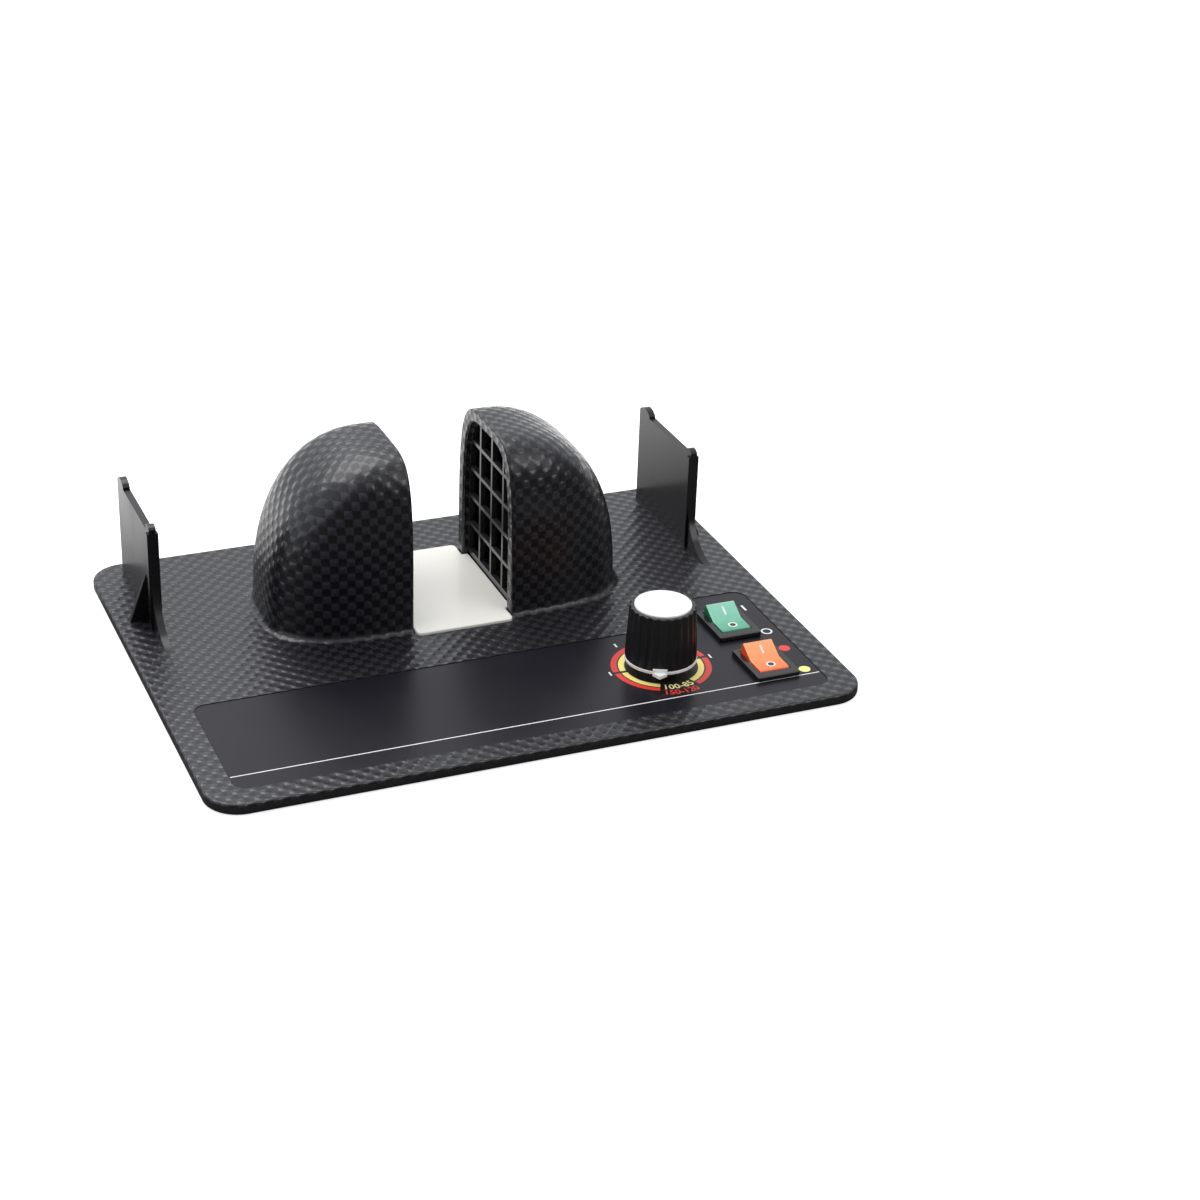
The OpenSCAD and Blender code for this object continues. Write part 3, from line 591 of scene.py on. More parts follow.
@dataclass(frozen=True)
class LitLens(Finish):
    """Tinted clear polycarbonate over a neon lamp, polished on top.

    The colour is deepest at the front and pales towards the raised rear face; that pale is a painted
    reflection of the pale room, and the sides get a painted darker shade. The emission stands for the
    neon lamp's glow.
    """

    # colour is the pale tint, a painted reflection of the room on the rear face; glow is the deep tint
    # at the front
    colour: str
    glow: str
    # shade is a darker colour painted on the sides as shade
    shade: str
    glow_strength: float
    middle_y: float
    reach: float = 9.0
    rib_mm: float = 3.5

    def surface(self, tree: NodeTree) -> Node:
        """Adds the lens's own nodes.

        Args:
            tree: Tree of the material.

        Returns:
            The shader.
        """
        coords = add(tree, "TexCoord").outputs["Object"]
        # Painted reflection: the colour pales from front to rear, standing for the room mirrored in
        # the raised rear face.
        ends = ((self.middle_y - self.reach) * MM, (self.middle_y + self.reach) * MM)
        along = add(tree, "MapRange", add(tree, "SeparateXYZ", coords).outputs["Y"], *ends)
        ribs = add(tree, "TexNoise", coords, Scale=1 / (self.rib_mm * MM), Detail=2.0)
        depth = add(tree, "Math", ribs, 0.25, along, operation="MULTIPLY_ADD")
        tint = add(tree, "MixRGB", depth, linear(self.glow), linear(self.colour))
        # Painted shade: faces turned sideways take the darker shade colour.
        normal = add(tree, "NewGeometry").outputs["True Normal"]
        across = add(tree, "SeparateXYZ", normal).outputs["X"]
        sideways = add(tree, "Math", across, operation="ABSOLUTE")
        painted_side_shade = add(tree, "MapRange", sideways, 0.75, 0.98)
        tint = add(tree, "MixRGB", painted_side_shade, tint, linear(self.shade))
        return add(tree, "BsdfPrincipled", tint, IOR=1.585, Roughness=0.16, Emission_Color=tint,
                   Emission_Strength=self.glow_strength, Subsurface_Weight=0.35,
                   Subsurface_Scale=0.004)


@dataclass(frozen=True)
class CircuitBoard(Finish):
    """Glass epoxy board under green solder resist, with copper tracks that show through."""

    name: str = "solder_resist_on_glass_epoxy"
    resist: str = "#12482b"
    track: str = "#2c7a45"
    track_mm: float = 2.2

    def surface(self, tree: NodeTree) -> Node:
        """Adds the board's own nodes.

        Args:
            tree: Tree of the material.

        Returns:
            The shader.
        """
        row, resist = self.track_mm * MM, linear(self.resist)
        coords = add(tree, "TexCoord").outputs["Object"]
        tracks = add(tree, "TexBrick", coords, linear(self.track), resist, resist, 1.0,
                     Mortar_Size=0.25 * row, Brick_Width=9 * row, Row_Height=row)
        return add(tree, "BsdfPrincipled", tracks, Roughness=0.28, IOR=1.52)


@dataclass(frozen=True)
class WhiteCounter(Finish):
    """Matt white worktop: white to the eye, dim where the glossy parts mirror it.

    Where the glossy parts mirror it, it is painted dim grey as shade, and painted light brightens it
    behind the warmer, where the fins mirror it.
    """

    name: str = "matt_white_counter"
    white: str = "#e4e4e4"
    # dim is painted shade, the grey that glossy parts see in the counter; the far glow is painted
    # light behind the warmer in those views
    dim: str = "#5c5c5c"
    glow: float = 0.6
    far_glow: float = 1.6
    far_y: Spot = (0.06, 0.2)  # where the glow begins and is full, in metres

    def surface(self, tree: NodeTree) -> Node:
        """Adds the worktop's own nodes.

        Args:
            tree: Tree of the material.

        Returns:
            The shader.
        """
        matt, dim = (add(tree, "BsdfDiffuse", linear(code)) for code in (self.white, self.dim))
        spot = add(tree, "NewGeometry").outputs["Position"]
        y = add(tree, "SeparateXYZ", spot).outputs["Y"]
        # Painted light: in mirrored views the counter glows brighter behind the warmer.
        behind = add(tree, "MapRange", y, *self.far_y, 0.0, self.far_glow)
        lit, glow = (add(tree, "Emission", WHITE, power) for power in (behind, self.glow))
        path = add(tree, "LightPath").outputs
        far, near = add(tree, "AddShader", dim, lit), add(tree, "AddShader", matt, glow)
        # Painted shade: glossy rays see the counter dim grey, camera rays see it white.
        mirrored = add(tree, "MixShader", path["Is Glossy Ray"], matt, far)
        return add(tree, "MixShader", path["Is Camera Ray"], mirrored, near)


# ------------------------------------------------------------------ top cover


@dataclass
class DomeShape:
    """A hood's form: superelliptic in front view, in its arch and in plan."""

    length: float
    depth: float
    height: float
    foot: float = 0.0
    low: float = -3.0
    rim: float = 0.0
    side_power: float = 2.44
    arch_power: float = 4.6
    front_power: float = 3.0
    back_power: float = 4.0
    columns: int = 72
    rows: int = 48
    least_rise: float = 0.4
    rim_steps: int = 4

    @staticmethod
    def on_ray(angle: float, power: float) -> Spot:
        """Gives the point of a unit superellipse on a ray.

        Args:
            angle: Angle of the ray.
            power: Power of the superellipse.

        Returns:
            The point.
        """
        x, y = math.cos(angle), math.sin(angle)
        reach = (abs(x) ** power + abs(y) ** power) ** (-1 / power)
        return x * reach, y * reach

    @staticmethod
    def narrowed(share: float, power: float) -> float:
        """Gives the share of the half width that is left at a share of the height."""
        return max(0.0, 1 - min(1.0, max(0.0, share)) ** power) ** (1 / power)

    def flare(self, z: float) -> float:
        """Tells how far the foot's fillet stands out at a height."""
        drop = max(0.0, self.foot - max(0.0, z))
        return self.foot - math.sqrt(self.foot**2 - drop**2)

    def heights(self) -> list[float]:
        """Lists the heights of the rows, from below the deck to the crown.

        Returns:
            The heights, lowest first.
        """
        fillet = [self.foot * (1 - math.cos(math.radians(a))) for a in range(0, 91, 15)]
        rows = [self.low, *(fillet if self.foot else [0.0])]
        for k in range(1, self.rows + 1):
            z = self.height * self.on_ray(math.pi / 2 * k / self.rows, self.arch_power)[1]
            if z > rows[-1] + self.least_rise or k > self.rows / 2:
                rows.append(z)
        return rows

    def build(self, bm: BMesh, face_x: float, middle_y: float) -> None:
        """Draws the dome in an empty mesh, with its flat face towards -X.

        Args:
            bm: Mesh to draw in.
            face_x: Place of the flat face.
            middle_y: Middle of the dome, front to back.
        """
        rows = self.heights()
        top = len(rows) - 1
        bmesh.ops.create_grid(bm, x_segments=self.columns, y_segments=top, size=0.5)
        for v in bm.verts:
            angle, z = math.pi * v.co.x, rows[round((v.co.y + 0.5) * top)]
            c, s = self.on_ray(angle, self.front_power if angle < 0 else self.back_power)
            share, out = z / self.height, self.flare(z)
            reach = (self.length - self.rim) * self.narrowed(share, self.side_power) + out
            half = self.depth / 2 * self.narrowed(share, self.arch_power) + out
            at_face = abs(angle) > math.pi / 2 - 1e-6
            v.co = (0.0 if at_face else abs(c) * reach, s * half, z)
        bmesh.ops.remove_doubles(bm, verts=bm.verts, dist=1e-4)
        floor = self.low + 1e-3
        border = [e for e in bm.edges if e.is_boundary]
        low = [e for e in border if max(v.co.z for v in e.verts) <= floor]
        arch = [e for e in border if e not in low]
        sill = bm.edges.new([v for v in bm.verts if v.co.z <= floor and v.co.x < 1e-6])
        bmesh.ops.contextual_create(bm, geom=[*low, sill])
        face = bmesh.ops.contextual_create(bm, geom=[*arch, sill])["faces"][0]
        bmesh.ops.recalc_face_normals(bm, faces=bm.faces)
        turns = [math.pi / 2 * k / self.rim_steps for k in range(self.rim_steps + 1)]
        for a, b in zip(turns, turns[1:]) if self.rim else ():
            bmesh.ops.inset_region(bm, faces=[face], thickness=self.rim * (math.cos(a) - math.cos(b)),
                                   depth=self.rim * (math.sin(b) - math.sin(a)),
                                   use_even_offset=True)
        bmesh.ops.translate(bm, vec=(face_x + self.rim, middle_y, 0), verts=bm.verts)


@dataclass
class TopCover(DeckPart):
    """Deck and hoods: one moulding with the openings, recesses and bosses of its parts."""

    width: float = 230.0
    depth: float = 176.0
    thickness: float = 4.0
    corner: float = 12.0
    edge: float = 1.0
    gap: float = 36.4
    hood_length: float = 47.2
    hood_depth: float = 56.0
    hood_height: float = 63.4
    middle_y: float = 30.2
    wall: float = 2.4
    foot: float = 2.5
    rim: float = 0.9
    window_side: float = 5.0
    window_top: float = 4.2
    window_power: float = 4.6
    window_low: float = -0.5
    seam: float = 0.2
    panel_play: float = 0.04
    panel_reach: float = 3.4
    panel_corner: float = 2.0
    panel_pocket: float = 1.0
    label_half_w: float = 104.7
    label_front_y: float = -79.0
    label_rear_y: float = -23.5
    label_block_y: float = -6.4
    label_block_x: float = 69.0
    label_corner: float = 4.5
    label_recess: float = 0.5
    knob_at: Spot = (53.7, -48.8)
    knob_hole_r: float = 4.95
    switch_x: float = 88.8
    switch_ys: Spot = (-28.5, -59.1)
    switch_hole: Spot = (14.0, 19.0)
    peg_spots: tuple[Spot, ...] = ((102.15, 39.2), (102.15, 74.6))
    peg_r: float = 1.15
    duct_screws: tuple[Spot, ...] = ((41.8, 0.5), (41.8, 59.9))
    screw_r: float = 1.3
    screw_depth: float = 11.0
    groove_plan: Spot = (200.0, 150.0)
    groove_width: float = 0.8
    groove_depth: float = 0.6
    groove_corner: float = 8.0
    boss_low: float = -16.0
    boss_radius: float = 4.0
    bosses: tuple[Spot, ...] = ((-86, 61), (86, 61), (-72, -64), (72, -64))
    spare: float = 1.0
    merge: float = 0.002

    def build(self, finish: Material) -> None:
        """Makes the moulding and dresses it.

        Args:
            finish: Material of the moulding.
        """
        cover = self.solid("top_cover_moulding", self._deck)
        combine(cover, self.solid("hoods", self._hoods), Cut.ADD)
        # Solids that overlap in one tool spoil the cut, so each layer of cuts is its own.
        for name, shape in (("cavities", self._cavities), ("windows", self._windows),
                            ("pockets", self._first_pockets), ("joins", self._second_pockets),
                            ("groove", self._groove)):
            combine(cover, self.solid(name, shape), Cut.TAKE)
        bm = bmesh.new()
        bm.from_mesh(cover.data)
        bmesh.ops.remove_doubles(bm, verts=bm.verts, dist=self.merge * MM)
        bmesh.ops.dissolve_degenerate(bm, edges=bm.edges, dist=self.merge * MM)
        bm.to_mesh(cover.data)
        bm.free()
        shade(cover)
        place(cover, finish, Body.CASING, "top_cover")

    def _deck(self, bm: BMesh) -> None:
        """Draws the flat plate with round corners and softened edges."""
        size = (self.width, self.depth, self.thickness)
        block(bm, size, (0, 0, -self.thickness / 2), self.corner, self.edge)

    def _hoods(self, bm: BMesh) -> None:
        """Draws the two hoods as full domes, and the bosses under the deck.

        Args:
            bm: Mesh to draw in.
        """
        inside = -self.thickness / 2
        shape = DomeShape(self.hood_length, self.hood_depth, self.hood_height, self.foot, inside,
                          self.rim)
        self._pair(bm, lambda half: shape.build(half, self.gap / 2, self.middle_y))
        for spot in self.bosses:
            rod(bm, self.boss_radius, self.boss_low, inside, spot, 32)

    def _cavities(self, bm: BMesh) -> None:
        """Draws the room inside the hoods, and every hole through the deck.

        Args:
            bm: Mesh to draw in.
        """
        under = -self.thickness - self.spare
        shape = DomeShape(self.hood_length - 2 * self.wall, self.hood_depth - 2 * self.wall,
                          self.hood_height - self.wall, low=under, columns=40, rows=30)
        self._pair(bm, lambda half: shape.build(half, self.gap / 2 + self.wall, self.middle_y))
        rod(bm, self.knob_hole_r, under, self.spare, self.knob_at)
        size = (*self.switch_hole, self.thickness + 2 * self.spare)
        for y in self.switch_ys:
            block(bm, size, (self.switch_x, y, -self.thickness / 2))
        low, high = self.boss_low - self.spare, self.boss_low + self.screw_depth
        for spot in self.bosses:
            rod(bm, self.screw_r, low, high, spot, 24)
        for side in Side:
            for radius, high, spots in ((self.peg_r, self.spare, self.peg_spots),
                                        (self.screw_r, -1.0, self.duct_screws)):
                for x, y in spots:
                    rod(bm, radius, under, high, (side.value * x, y), 24)

    def _groove(self, bm: BMesh) -> None:
        """Draws the sealing groove round the housing, in the deck's underside.

        Args:
            bm: Mesh to draw in.
        """
        low, high = -self.thickness - self.spare, self.groove_depth - self.thickness
        inner, outer = self.groove_corner, self.groove_corner + self.groove_width
        section = ((inner, low), (outer, low), (outer, high), (inner, high))
        loops = [[bm.verts.new((*spot, z)) for spot in self._groove_ring(r)] for r, z in section]
        for one, two in zip(loops, loops[1:] + loops[:1]):
            for k, vert in enumerate(one):
                bm.faces.new((one[k - 1], vert, two[k], two[k - 1]))

    def _groove_ring(self, radius: float) -> list[Spot]:
        """Gives the plan of one wall of the groove.

        Args:
            radius: Radius of its corners.

        Returns:
            Its points, counter-clockwise.
        """
        x, y = (length / 2 - self.groove_corner for length in self.groove_plan)
        points = []
        for turn, (sx, sy) in enumerate(QUARTERS):
            for a in (math.pi / 2 * (turn + k / 8) for k in range(9)):
                points.append((sx * x + radius * math.cos(a), sy * y + radius * math.sin(a)))
        return points

    def _pocket(self, bm: BMesh, low: Spot, high: Spot, depth: float, corner: float = 0.0) -> None:
        """Draws a shallow pocket in the deck's top.

        Args:
            bm: Mesh to draw in.
            low: Its left front corner.
            high: Its right rear corner.
            depth: Its depth.
            corner: Radius of its corners.
        """
        size = (high[0] - low[0], high[1] - low[1], 2.0)
        middle = ((low[0] + high[0]) / 2, (low[1] + high[1]) / 2, size[2] / 2 - depth)
        block(bm, size, middle, corner)

    def _first_pockets(self, bm: BMesh) -> None:
        """Draws the long pockets of the panel and the label.

        Args:
            bm: Mesh to draw in.
        """
        x = (self.gap - self.panel_play) / 2
        y = self.hood_depth / 2 + self.panel_reach + self.seam
        self._pocket(bm, (-x, self.middle_y - y), (x, self.middle_y + y), self.panel_pocket,
                     self.panel_corner)
        x = self.label_half_w + self.seam
        self._pocket(bm, (-x, self.label_front_y - self.seam), (x, self.label_rear_y + self.seam),
                     self.label_recess, self.label_corner + self.seam)

    def _second_pockets(self, bm: BMesh) -> None:
        """Draws the rest of the two pockets: under the windows, and round the switches.

        Args:
            bm: Mesh to draw in.
        """
        x, y = self.gap / 2 + self.wall, self.hood_depth / 2 - self.window_side
        self._pocket(bm, (-x, self.middle_y - y), (x, self.middle_y + y), self.panel_pocket)
        low = (self.label_block_x - self.seam, self.label_front_y - self.seam)
        high = (self.label_half_w + self.seam, self.label_block_y + self.seam)
        self._pocket(bm, low, high, self.label_recess, self.label_corner + self.seam)

    def _windows(self, bm: BMesh) -> None:
        """Draws the cutters of both windows."""
        self._pair(bm, self._window)

    def _window(self, bm: BMesh) -> None:
        """Draws one window's cutter, flared where it leaves the hood's face.

        Args:
            bm: Mesh to draw in.
        """
        half = self.hood_depth / 2 - self.window_side
        top = self.hood_height - self.window_top
        face_x = self.gap / 2
        turns = [math.radians(turn) for turn in range(0, 91, 18)]
        flare = [(face_x - self.spare, self.rim)]
        flare += [(face_x + self.rim * (1 - math.cos(t)), self.rim * (1 - math.sin(t))) for t in turns]
        flare.append((face_x + self.wall + self.spare, 0.0))
        first_x, grown = flare[0]
        arch = [DomeShape.on_ray(math.pi * k / 60, self.window_power) for k in range(61)]
        ring = [(first_x, y * (half + grown), z * (top + grown)) for y, z in arch]
        ring += [(first_x, y * (half + grown), self.window_low) for y in (-1, 1)]
        start = face = bm.faces.new([bm.verts.new(spot) for spot in ring])
        for x, growth in flare[1:]:
            out = bmesh.ops.extrude_face_region(bm, geom=[face])["geom"]
            if face is not start:
                bmesh.ops.delete(bm, geom=[face], context="FACES_ONLY")
            face = next(g for g in out if isinstance(g, BMFace))
            for v in face.verts:
                rise = (top + growth) / (top + grown) if v.co.z > 0 else 1.0
                v.co = (x, v.co.y * (half + growth) / (half + grown), v.co.z * rise)
            grown = growth
        bmesh.ops.translate(bm, vec=(0, self.middle_y, 0), verts=bm.verts)

    @staticmethod
    def _pair(bm: BMesh, shape: Shape) -> None:
        """Adds a right-hand form and its mirror image.

        Args:
            bm: Mesh to add to.
            shape: Draws the right-hand form in an empty mesh.
        """
        half = bmesh.new()
        shape(half)
        mesh = bpy.data.meshes.new("half")
        half.to_mesh(mesh)
        half.free()
        bm.from_mesh(mesh)
        known = len(bm.verts)
        bm.from_mesh(mesh)
        bpy.data.meshes.remove(mesh)
        bm.verts.ensure_lookup_table()
        turned = bm.verts[known:]
        bmesh.ops.scale(bm, vec=(-1, 1, 1), verts=turned)
        bmesh.ops.reverse_faces(bm, faces=list({f for v in turned for f in v.link_faces}))


# ------------------------------------------------------------------ softened copies


@dataclass
class SoftenedPart:
    """A drawn part with the small rounds that its mould or tool leaves on its edges."""

    node: str
    slot: str
    radius: float = 0.4
    steps: int = 2
    flat: float = math.radians(1)
    sharp: float = math.radians(35)

    def build(self, finish: Material) -> None:
        """Copies the node, welds it and rounds its sharp edges.

        Args:
            finish: Material of the part.
        """
        bm = bmesh.new()
        bm.from_mesh(bpy.data.objects[self.node].data)
        bmesh.ops.remove_doubles(bm, verts=bm.verts, dist=WELD)
        bmesh.ops.dissolve_limit(bm, angle_limit=self.flat, verts=bm.verts, edges=bm.edges,
                                 delimit={"NORMAL"})
        edges = [e for e in bm.edges if len(e.link_faces) == 2
                 and e.calc_face_angle_signed(0) > self.sharp]
        soften(bm, edges, self.radius * MM, self.steps)
        piece = make_object(self.node + "_softened", bm)
        shade(piece)
        place(piece, finish, Body.CASING, self.node)


# ------------------------------------------------------------------ label and prints


@dataclass
class LabelPrint(DeckPart):
    """Everything that is screen printed on the control label.

    Inks lie on the film as thin closed pads, each layer over the one below it.
    """

    film_z: float = -0.2
    ink: float = 0.03
    knob_at: Spot = (54.1, -48.8)
    disc: Spot = (5.2, 17.8)
    red_ring: Spot = (15.4, 17.5)
    yellow_ring: Spot = (12.8, 14.9)
    ring_start: float = -115.0
    ring_end: float = -425.0
    breaks: Spot = (-181.5, -356.0)
    break_mm: float = 1.3
    tick_size: Spot = (0.65, 2.5)
    tick_spots: tuple[Spot, ...] = ((-9.1, 18.8), (9.1, 18.8), (-18.8, 0.6), (19.0, 0.9))
    line_y: float = -70.6
    line_w: float = 0.45
    line_x: Spot = (-104.5, 104.2)
    low_arc: Triple = (14.8, -88.8, 10.3)
    high_arc: Triple = (18.5, -90.1, 12.1)
    number_height: float = 3.1
    mark_i: Spot = (100.1, -18.9)
    bar: Spot = (0.8, 4.0)
    mark_o: Spot = (100.1, -37.8)
    ring: Spot = (1.47, 2.07)
    red_dot: Spot = (100.4, -51.2)
    yellow_dot: Spot = (100.3, -67.1)
    dot_r: float = 2.05

    def build(self, inks: dict[str, Material]) -> None:
        """Makes each print in its own ink.

        Args:
            inks: The inks by their plain colour.
        """
        low, high = self.film_z, self.film_z + self.ink
        self._print("dial_disc", lambda bm: washer(bm, self.disc, low, high, self.knob_at),
                    inks["black"])
        for name, radii, ink in (("dial_ring_high", self.red_ring, inks["red"]),
                                 ("dial_ring_low", self.yellow_ring, inks["yellow"])):
            self._print(name, lambda bm: self._dial_ring(bm, radii), ink)
        self._print("label_marks", self._marks, inks["white"])
        for name, at, ink in (("high_range_dot", self.red_dot, inks["red"]),
                              ("low_range_dot", self.yellow_dot, inks["yellow"])):
            self._print(name, lambda bm: rod(bm, self.dot_r, low, high, at, 48), ink)
        for name, words, arc, ink in (
            ("dial_numbers_low", "100-85", self.low_arc, inks["pale"]),
            ("dial_numbers_high", "150-120", self.high_arc, inks["red"]),
        ):
            self._print(name, lambda bm: self._numbers(bm, words, arc), ink)

    def _print(self, name: str, shape: Shape, ink: Material) -> None:
        """Lays a print on the film and dresses it."""
        self.piece(name, shape, ink, Body.CASING, "printed_label")

    def _dial_ring(self, bm: BMesh, radii: Spot) -> None:
        """Draws one dial ring, from the start of the scale to its end, with its breaks.

        Args:
            bm: Mesh to draw in.
            radii: Inner and outer radius.
        """
        low = self.film_z + self.ink
        middle = Vector((*self.knob_at, 0))
        half = math.degrees(self.break_mm / sum(radii))
        start = self.ring_start
        for stop, gap in (*((b, half) for b in self.breaks), (self.ring_end, 0.0)):
            turn = Matrix.Rotation(math.radians(start), 3, "Z")
            spots = [(r, 0, low) for r in radii] + [(r, 0, low + self.ink) for r in radii[::-1]]
            face = bm.faces.new([bm.verts.new(turn @ Vector(s) + middle) for s in spots])
            sweep = stop + gap - start
            bmesh.ops.spin(bm, geom=[face], cent=middle, axis=(0, 0, 1), angle=math.radians(sweep),
                           steps=max(3, int(abs(sweep) / 3)))
            start = stop - half

    def _marks(self, bm: BMesh) -> None:
        """Draws the line, the ticks and the switch marks.

        Args:
            bm: Mesh to draw in.
        """
        washer(bm, self.ring, self.film_z, self.film_z + self.ink, self.mark_o)
        line = (self.line_x[1] - self.line_x[0], self.line_w)
        pads = [(line, (sum(self.line_x) / 2, self.line_y)), (self.bar, self.mark_i)]
        x, y = self.knob_at
        pads += [(self.tick_size, (x + across, y + along)) for across, along in self.tick_spots]
        for size, at in pads:
            block(bm, (*size, self.ink), (*at, self.film_z + self.ink / 2))

    def _numbers(self, bm: BMesh, words: str, arc: Triple) -> None:
        """Draws plain dial numbers along an arc round the knob.

        Args:
            bm: Mesh to draw in.
            words: The numbers.
            arc: Radius, angle of the middle in degrees, and length along the arc.
        """
        radius, middle, width = arc
        set_numbers(bm, words, (width, self.number_height), 2 * self.ink)
        lowest = min(v.co.z for v in bm.verts)
        for v in bm.verts:
            angle, reach = math.radians(middle) + v.co.x / radius, radius - v.co.y
            v.co = (self.knob_at[0] + reach * math.cos(angle),
                    self.knob_at[1] + reach * math.sin(angle), self.film_z + v.co.z - lowest)


def set_numbers(bm: BMesh, words: str, size: Spot, thickness: float) -> None:
    """Draws plain numbers as a solid, centred on the origin.

    Args:
        bm: Empty mesh to draw in.
        words: The numbers.
        size: Width and height that they are stretched to.
        thickness: Thickness of the solid.
    """
    curve = bpy.data.curves.new("numbers", "FONT")
    curve.body, curve.extrude, curve.offset, curve.resolution_u = words, thickness / 2, 0.018, 6
    curve.align_x = curve.align_y = "CENTER"
    source = bpy.data.objects.new("numbers", curve)
    bpy.context.scene.collection.objects.link(source)
    bpy.context.view_layer.update()
    view = bpy.context.evaluated_depsgraph_get()
    mesh = bpy.data.meshes.new_from_object(source.evaluated_get(view))
    bm.from_mesh(mesh)
    # The faces of raised text share no corners, so they can't be told in from out.
    bmesh.ops.remove_doubles(bm, verts=bm.verts, dist=WELD)
    for face in bm.faces:
        face.smooth = False
    bpy.data.objects.remove(source)
    bpy.data.curves.remove(curve)
    bpy.data.meshes.remove(mesh)
    spans = [sorted(v.co[axis] for v in bm.verts) for axis in (0, 1)]
    scale = [length / (span[-1] - span[0]) for length, span in zip(size, spans)]
    middle = Vector([(span[-1] + span[0]) / 2 for span in spans] + [0])
    bm.transform(Matrix.Diagonal((*scale, 1, 1)) @ Matrix.Translation(-middle))


# ------------------------------------------------------------------ knob


@dataclass
class Knob(DeckPart):
    """Heat knob: fluted black body, white cap let into its top, white pointer ring."""

    at: Spot = (53.7, -48.8)
    shaft_r: float = 3.05
    foot_r: float = 12.5
    top_r: float = 11.5
    seat_z: float = 4.4
    top_z: float = 24.4
    cap_r: float = 9.9
    cap_z: float = 23.4
    cap_play: float = 0.12
    cap_floor: float = 0.8
    cap_low: float = 0.75
    rim_z: float = 23.7
    flutes: int = 24
    flute_depth: float = 0.6
    flute_reach: float = 0.7
    flute_rows: int = 14
    foot_fade: float = 2.5
    ring_bore: float = 8.6
    ring_r: float = 12.6
    ring_low: float = 3.2
    pointer_r: float = 15.8
    shoulder_r: float = 13.4
    root_r: float = 11.34
    pointer_w: float = 5.0
    pointer_sink: float = 0.01
    flag_low: float = -0.6
    flag_h: float = 1.2
    flag: Spot = (12.6, 13.4)
    pointer_turn: float = math.radians(-25)

    def build(self, black: Material, white: Material) -> None:
        """Makes the three mouldings of the knob.

        Args:
            black: Material of the body.
            white: Material of the cap and the pointer.
        """
        for name, shape, finish, slot, node in (
            ("knob_body_fluted", self._body, black, "knob_black", "knob_body"),
            ("knob_cap_let_in", self._cap, white, "knob_white", "knob_cap"),
            ("knob_pointer_moulding", self._pointer, white, "knob_white", "knob_pointer_ring"),
        ):
            self.piece(name, shape, finish, Body.KNOB, slot, node)

    def _body(self, bm: BMesh) -> None:
        """Draws the body, with shallow flutes that run up through its thin top rim.

        Args:
            bm: Mesh to draw in.
        """
        pocket_r, floor = self.cap_r + self.cap_play, self.cap_z - self.cap_floor
        outline = rounded_profile([(self.shaft_r, self.seat_z, 0), (self.foot_r, self.seat_z, 0.3),
                                   (self.top_r, self.rim_z, 0.45), (pocket_r, self.rim_z, 0.12),
                                   (pocket_r, floor, 0), (0.0, floor, 0)])
        low, high = (Vector(point) for point in outline[6:8])
        rows = [tuple(low.lerp(high, k / self.flute_rows)) for k in range(1, self.flute_rows)]
        lathe(bm, outline[:7] + rows + outline[7:], self.at, self.flutes * 8)
        slope = (self.foot_r - self.top_r) / (self.rim_z - self.seat_z)
        for v in bm.verts:
            arm = Vector((v.co.x - self.at[0], v.co.y - self.at[1], 0))
            rise = v.co.z - self.seat_z
            if arm.length >= self.foot_r - slope * rise - self.flute_reach:
                wave = 0.5 + 0.5 * math.cos(self.flutes * math.atan2(arm.y, arm.x))
                fade = min(1.0, max(0.0, rise / self.foot_fade))
                v.co -= arm.normalized() * self.flute_depth * wave * fade

    def _cap(self, bm: BMesh) -> None:
        """Draws the flat cap with its crisp edge.

        Args:
            bm: Mesh to draw in.
        """
        low = self.cap_z - self.cap_low
        outline = [(0.0, low, 0), (self.cap_r, low, 0.1), (self.cap_r, self.top_z, 0.5),
                   (0.0, self.top_z, 0)]
        lathe(bm, rounded_profile(outline), self.at)

    def _pointer(self, bm: BMesh) -> None:
        """Draws the ring with its pointer and the flag that stands against the body.

        Args:
            bm: Mesh to draw in.
        """
        bore, ring_r, high, low = self.ring_bore, self.ring_r, self.seat_z, self.ring_low
        outline = [(bore, high, 0), (ring_r, high, 0.3), (ring_r, low, 0.3), (bore, low, 0),
                   (bore, high, 0)]
        lathe(bm, rounded_profile(outline, 4), (0, 0))
        half = self.pointer_w / 2
        plan = [(-half, -self.root_r), (-half, -self.shoulder_r), (0, -self.pointer_r),
                (half, -self.shoulder_r), (half, -self.root_r)]
        self._plate(bm, plan, (low + self.pointer_sink, high - self.pointer_sink), 0.15)
        near, far = self.flag
        plan = [(-half, -far), (half, -far), (half, -near), (-half, -near)]
        self._plate(bm, plan, (high + self.flag_low, high + self.flag_h), 0.1)
        turn = Matrix.Rotation(self.pointer_turn, 4, "Z")
        bm.transform(Matrix.Translation((*self.at, 0)) @ turn)

    @staticmethod
    def _plate(bm: BMesh, plan: Sequence[Spot], span: Spot, radius: float) -> None:
        """Adds a flat plate with softened edges.

        Args:
            bm: Mesh to add to.
            plan: Its corners.
            span: Heights of its underside and its top.
            radius: Radius of its edges.
        """
        face = bm.faces.new([bm.verts.new((x, y, span[0])) for x, y in plan])
        out = bmesh.ops.extrude_face_region(bm, geom=[face])["geom"]
        raised = [g for g in out if isinstance(g, BMVert)]
        bmesh.ops.translate(bm, vec=(0, 0, span[1] - span[0]), verts=raised)
        soften(bm, {e for v in raised for e in v.link_edges}, radius, 3)


# ------------------------------------------------------------------ switches


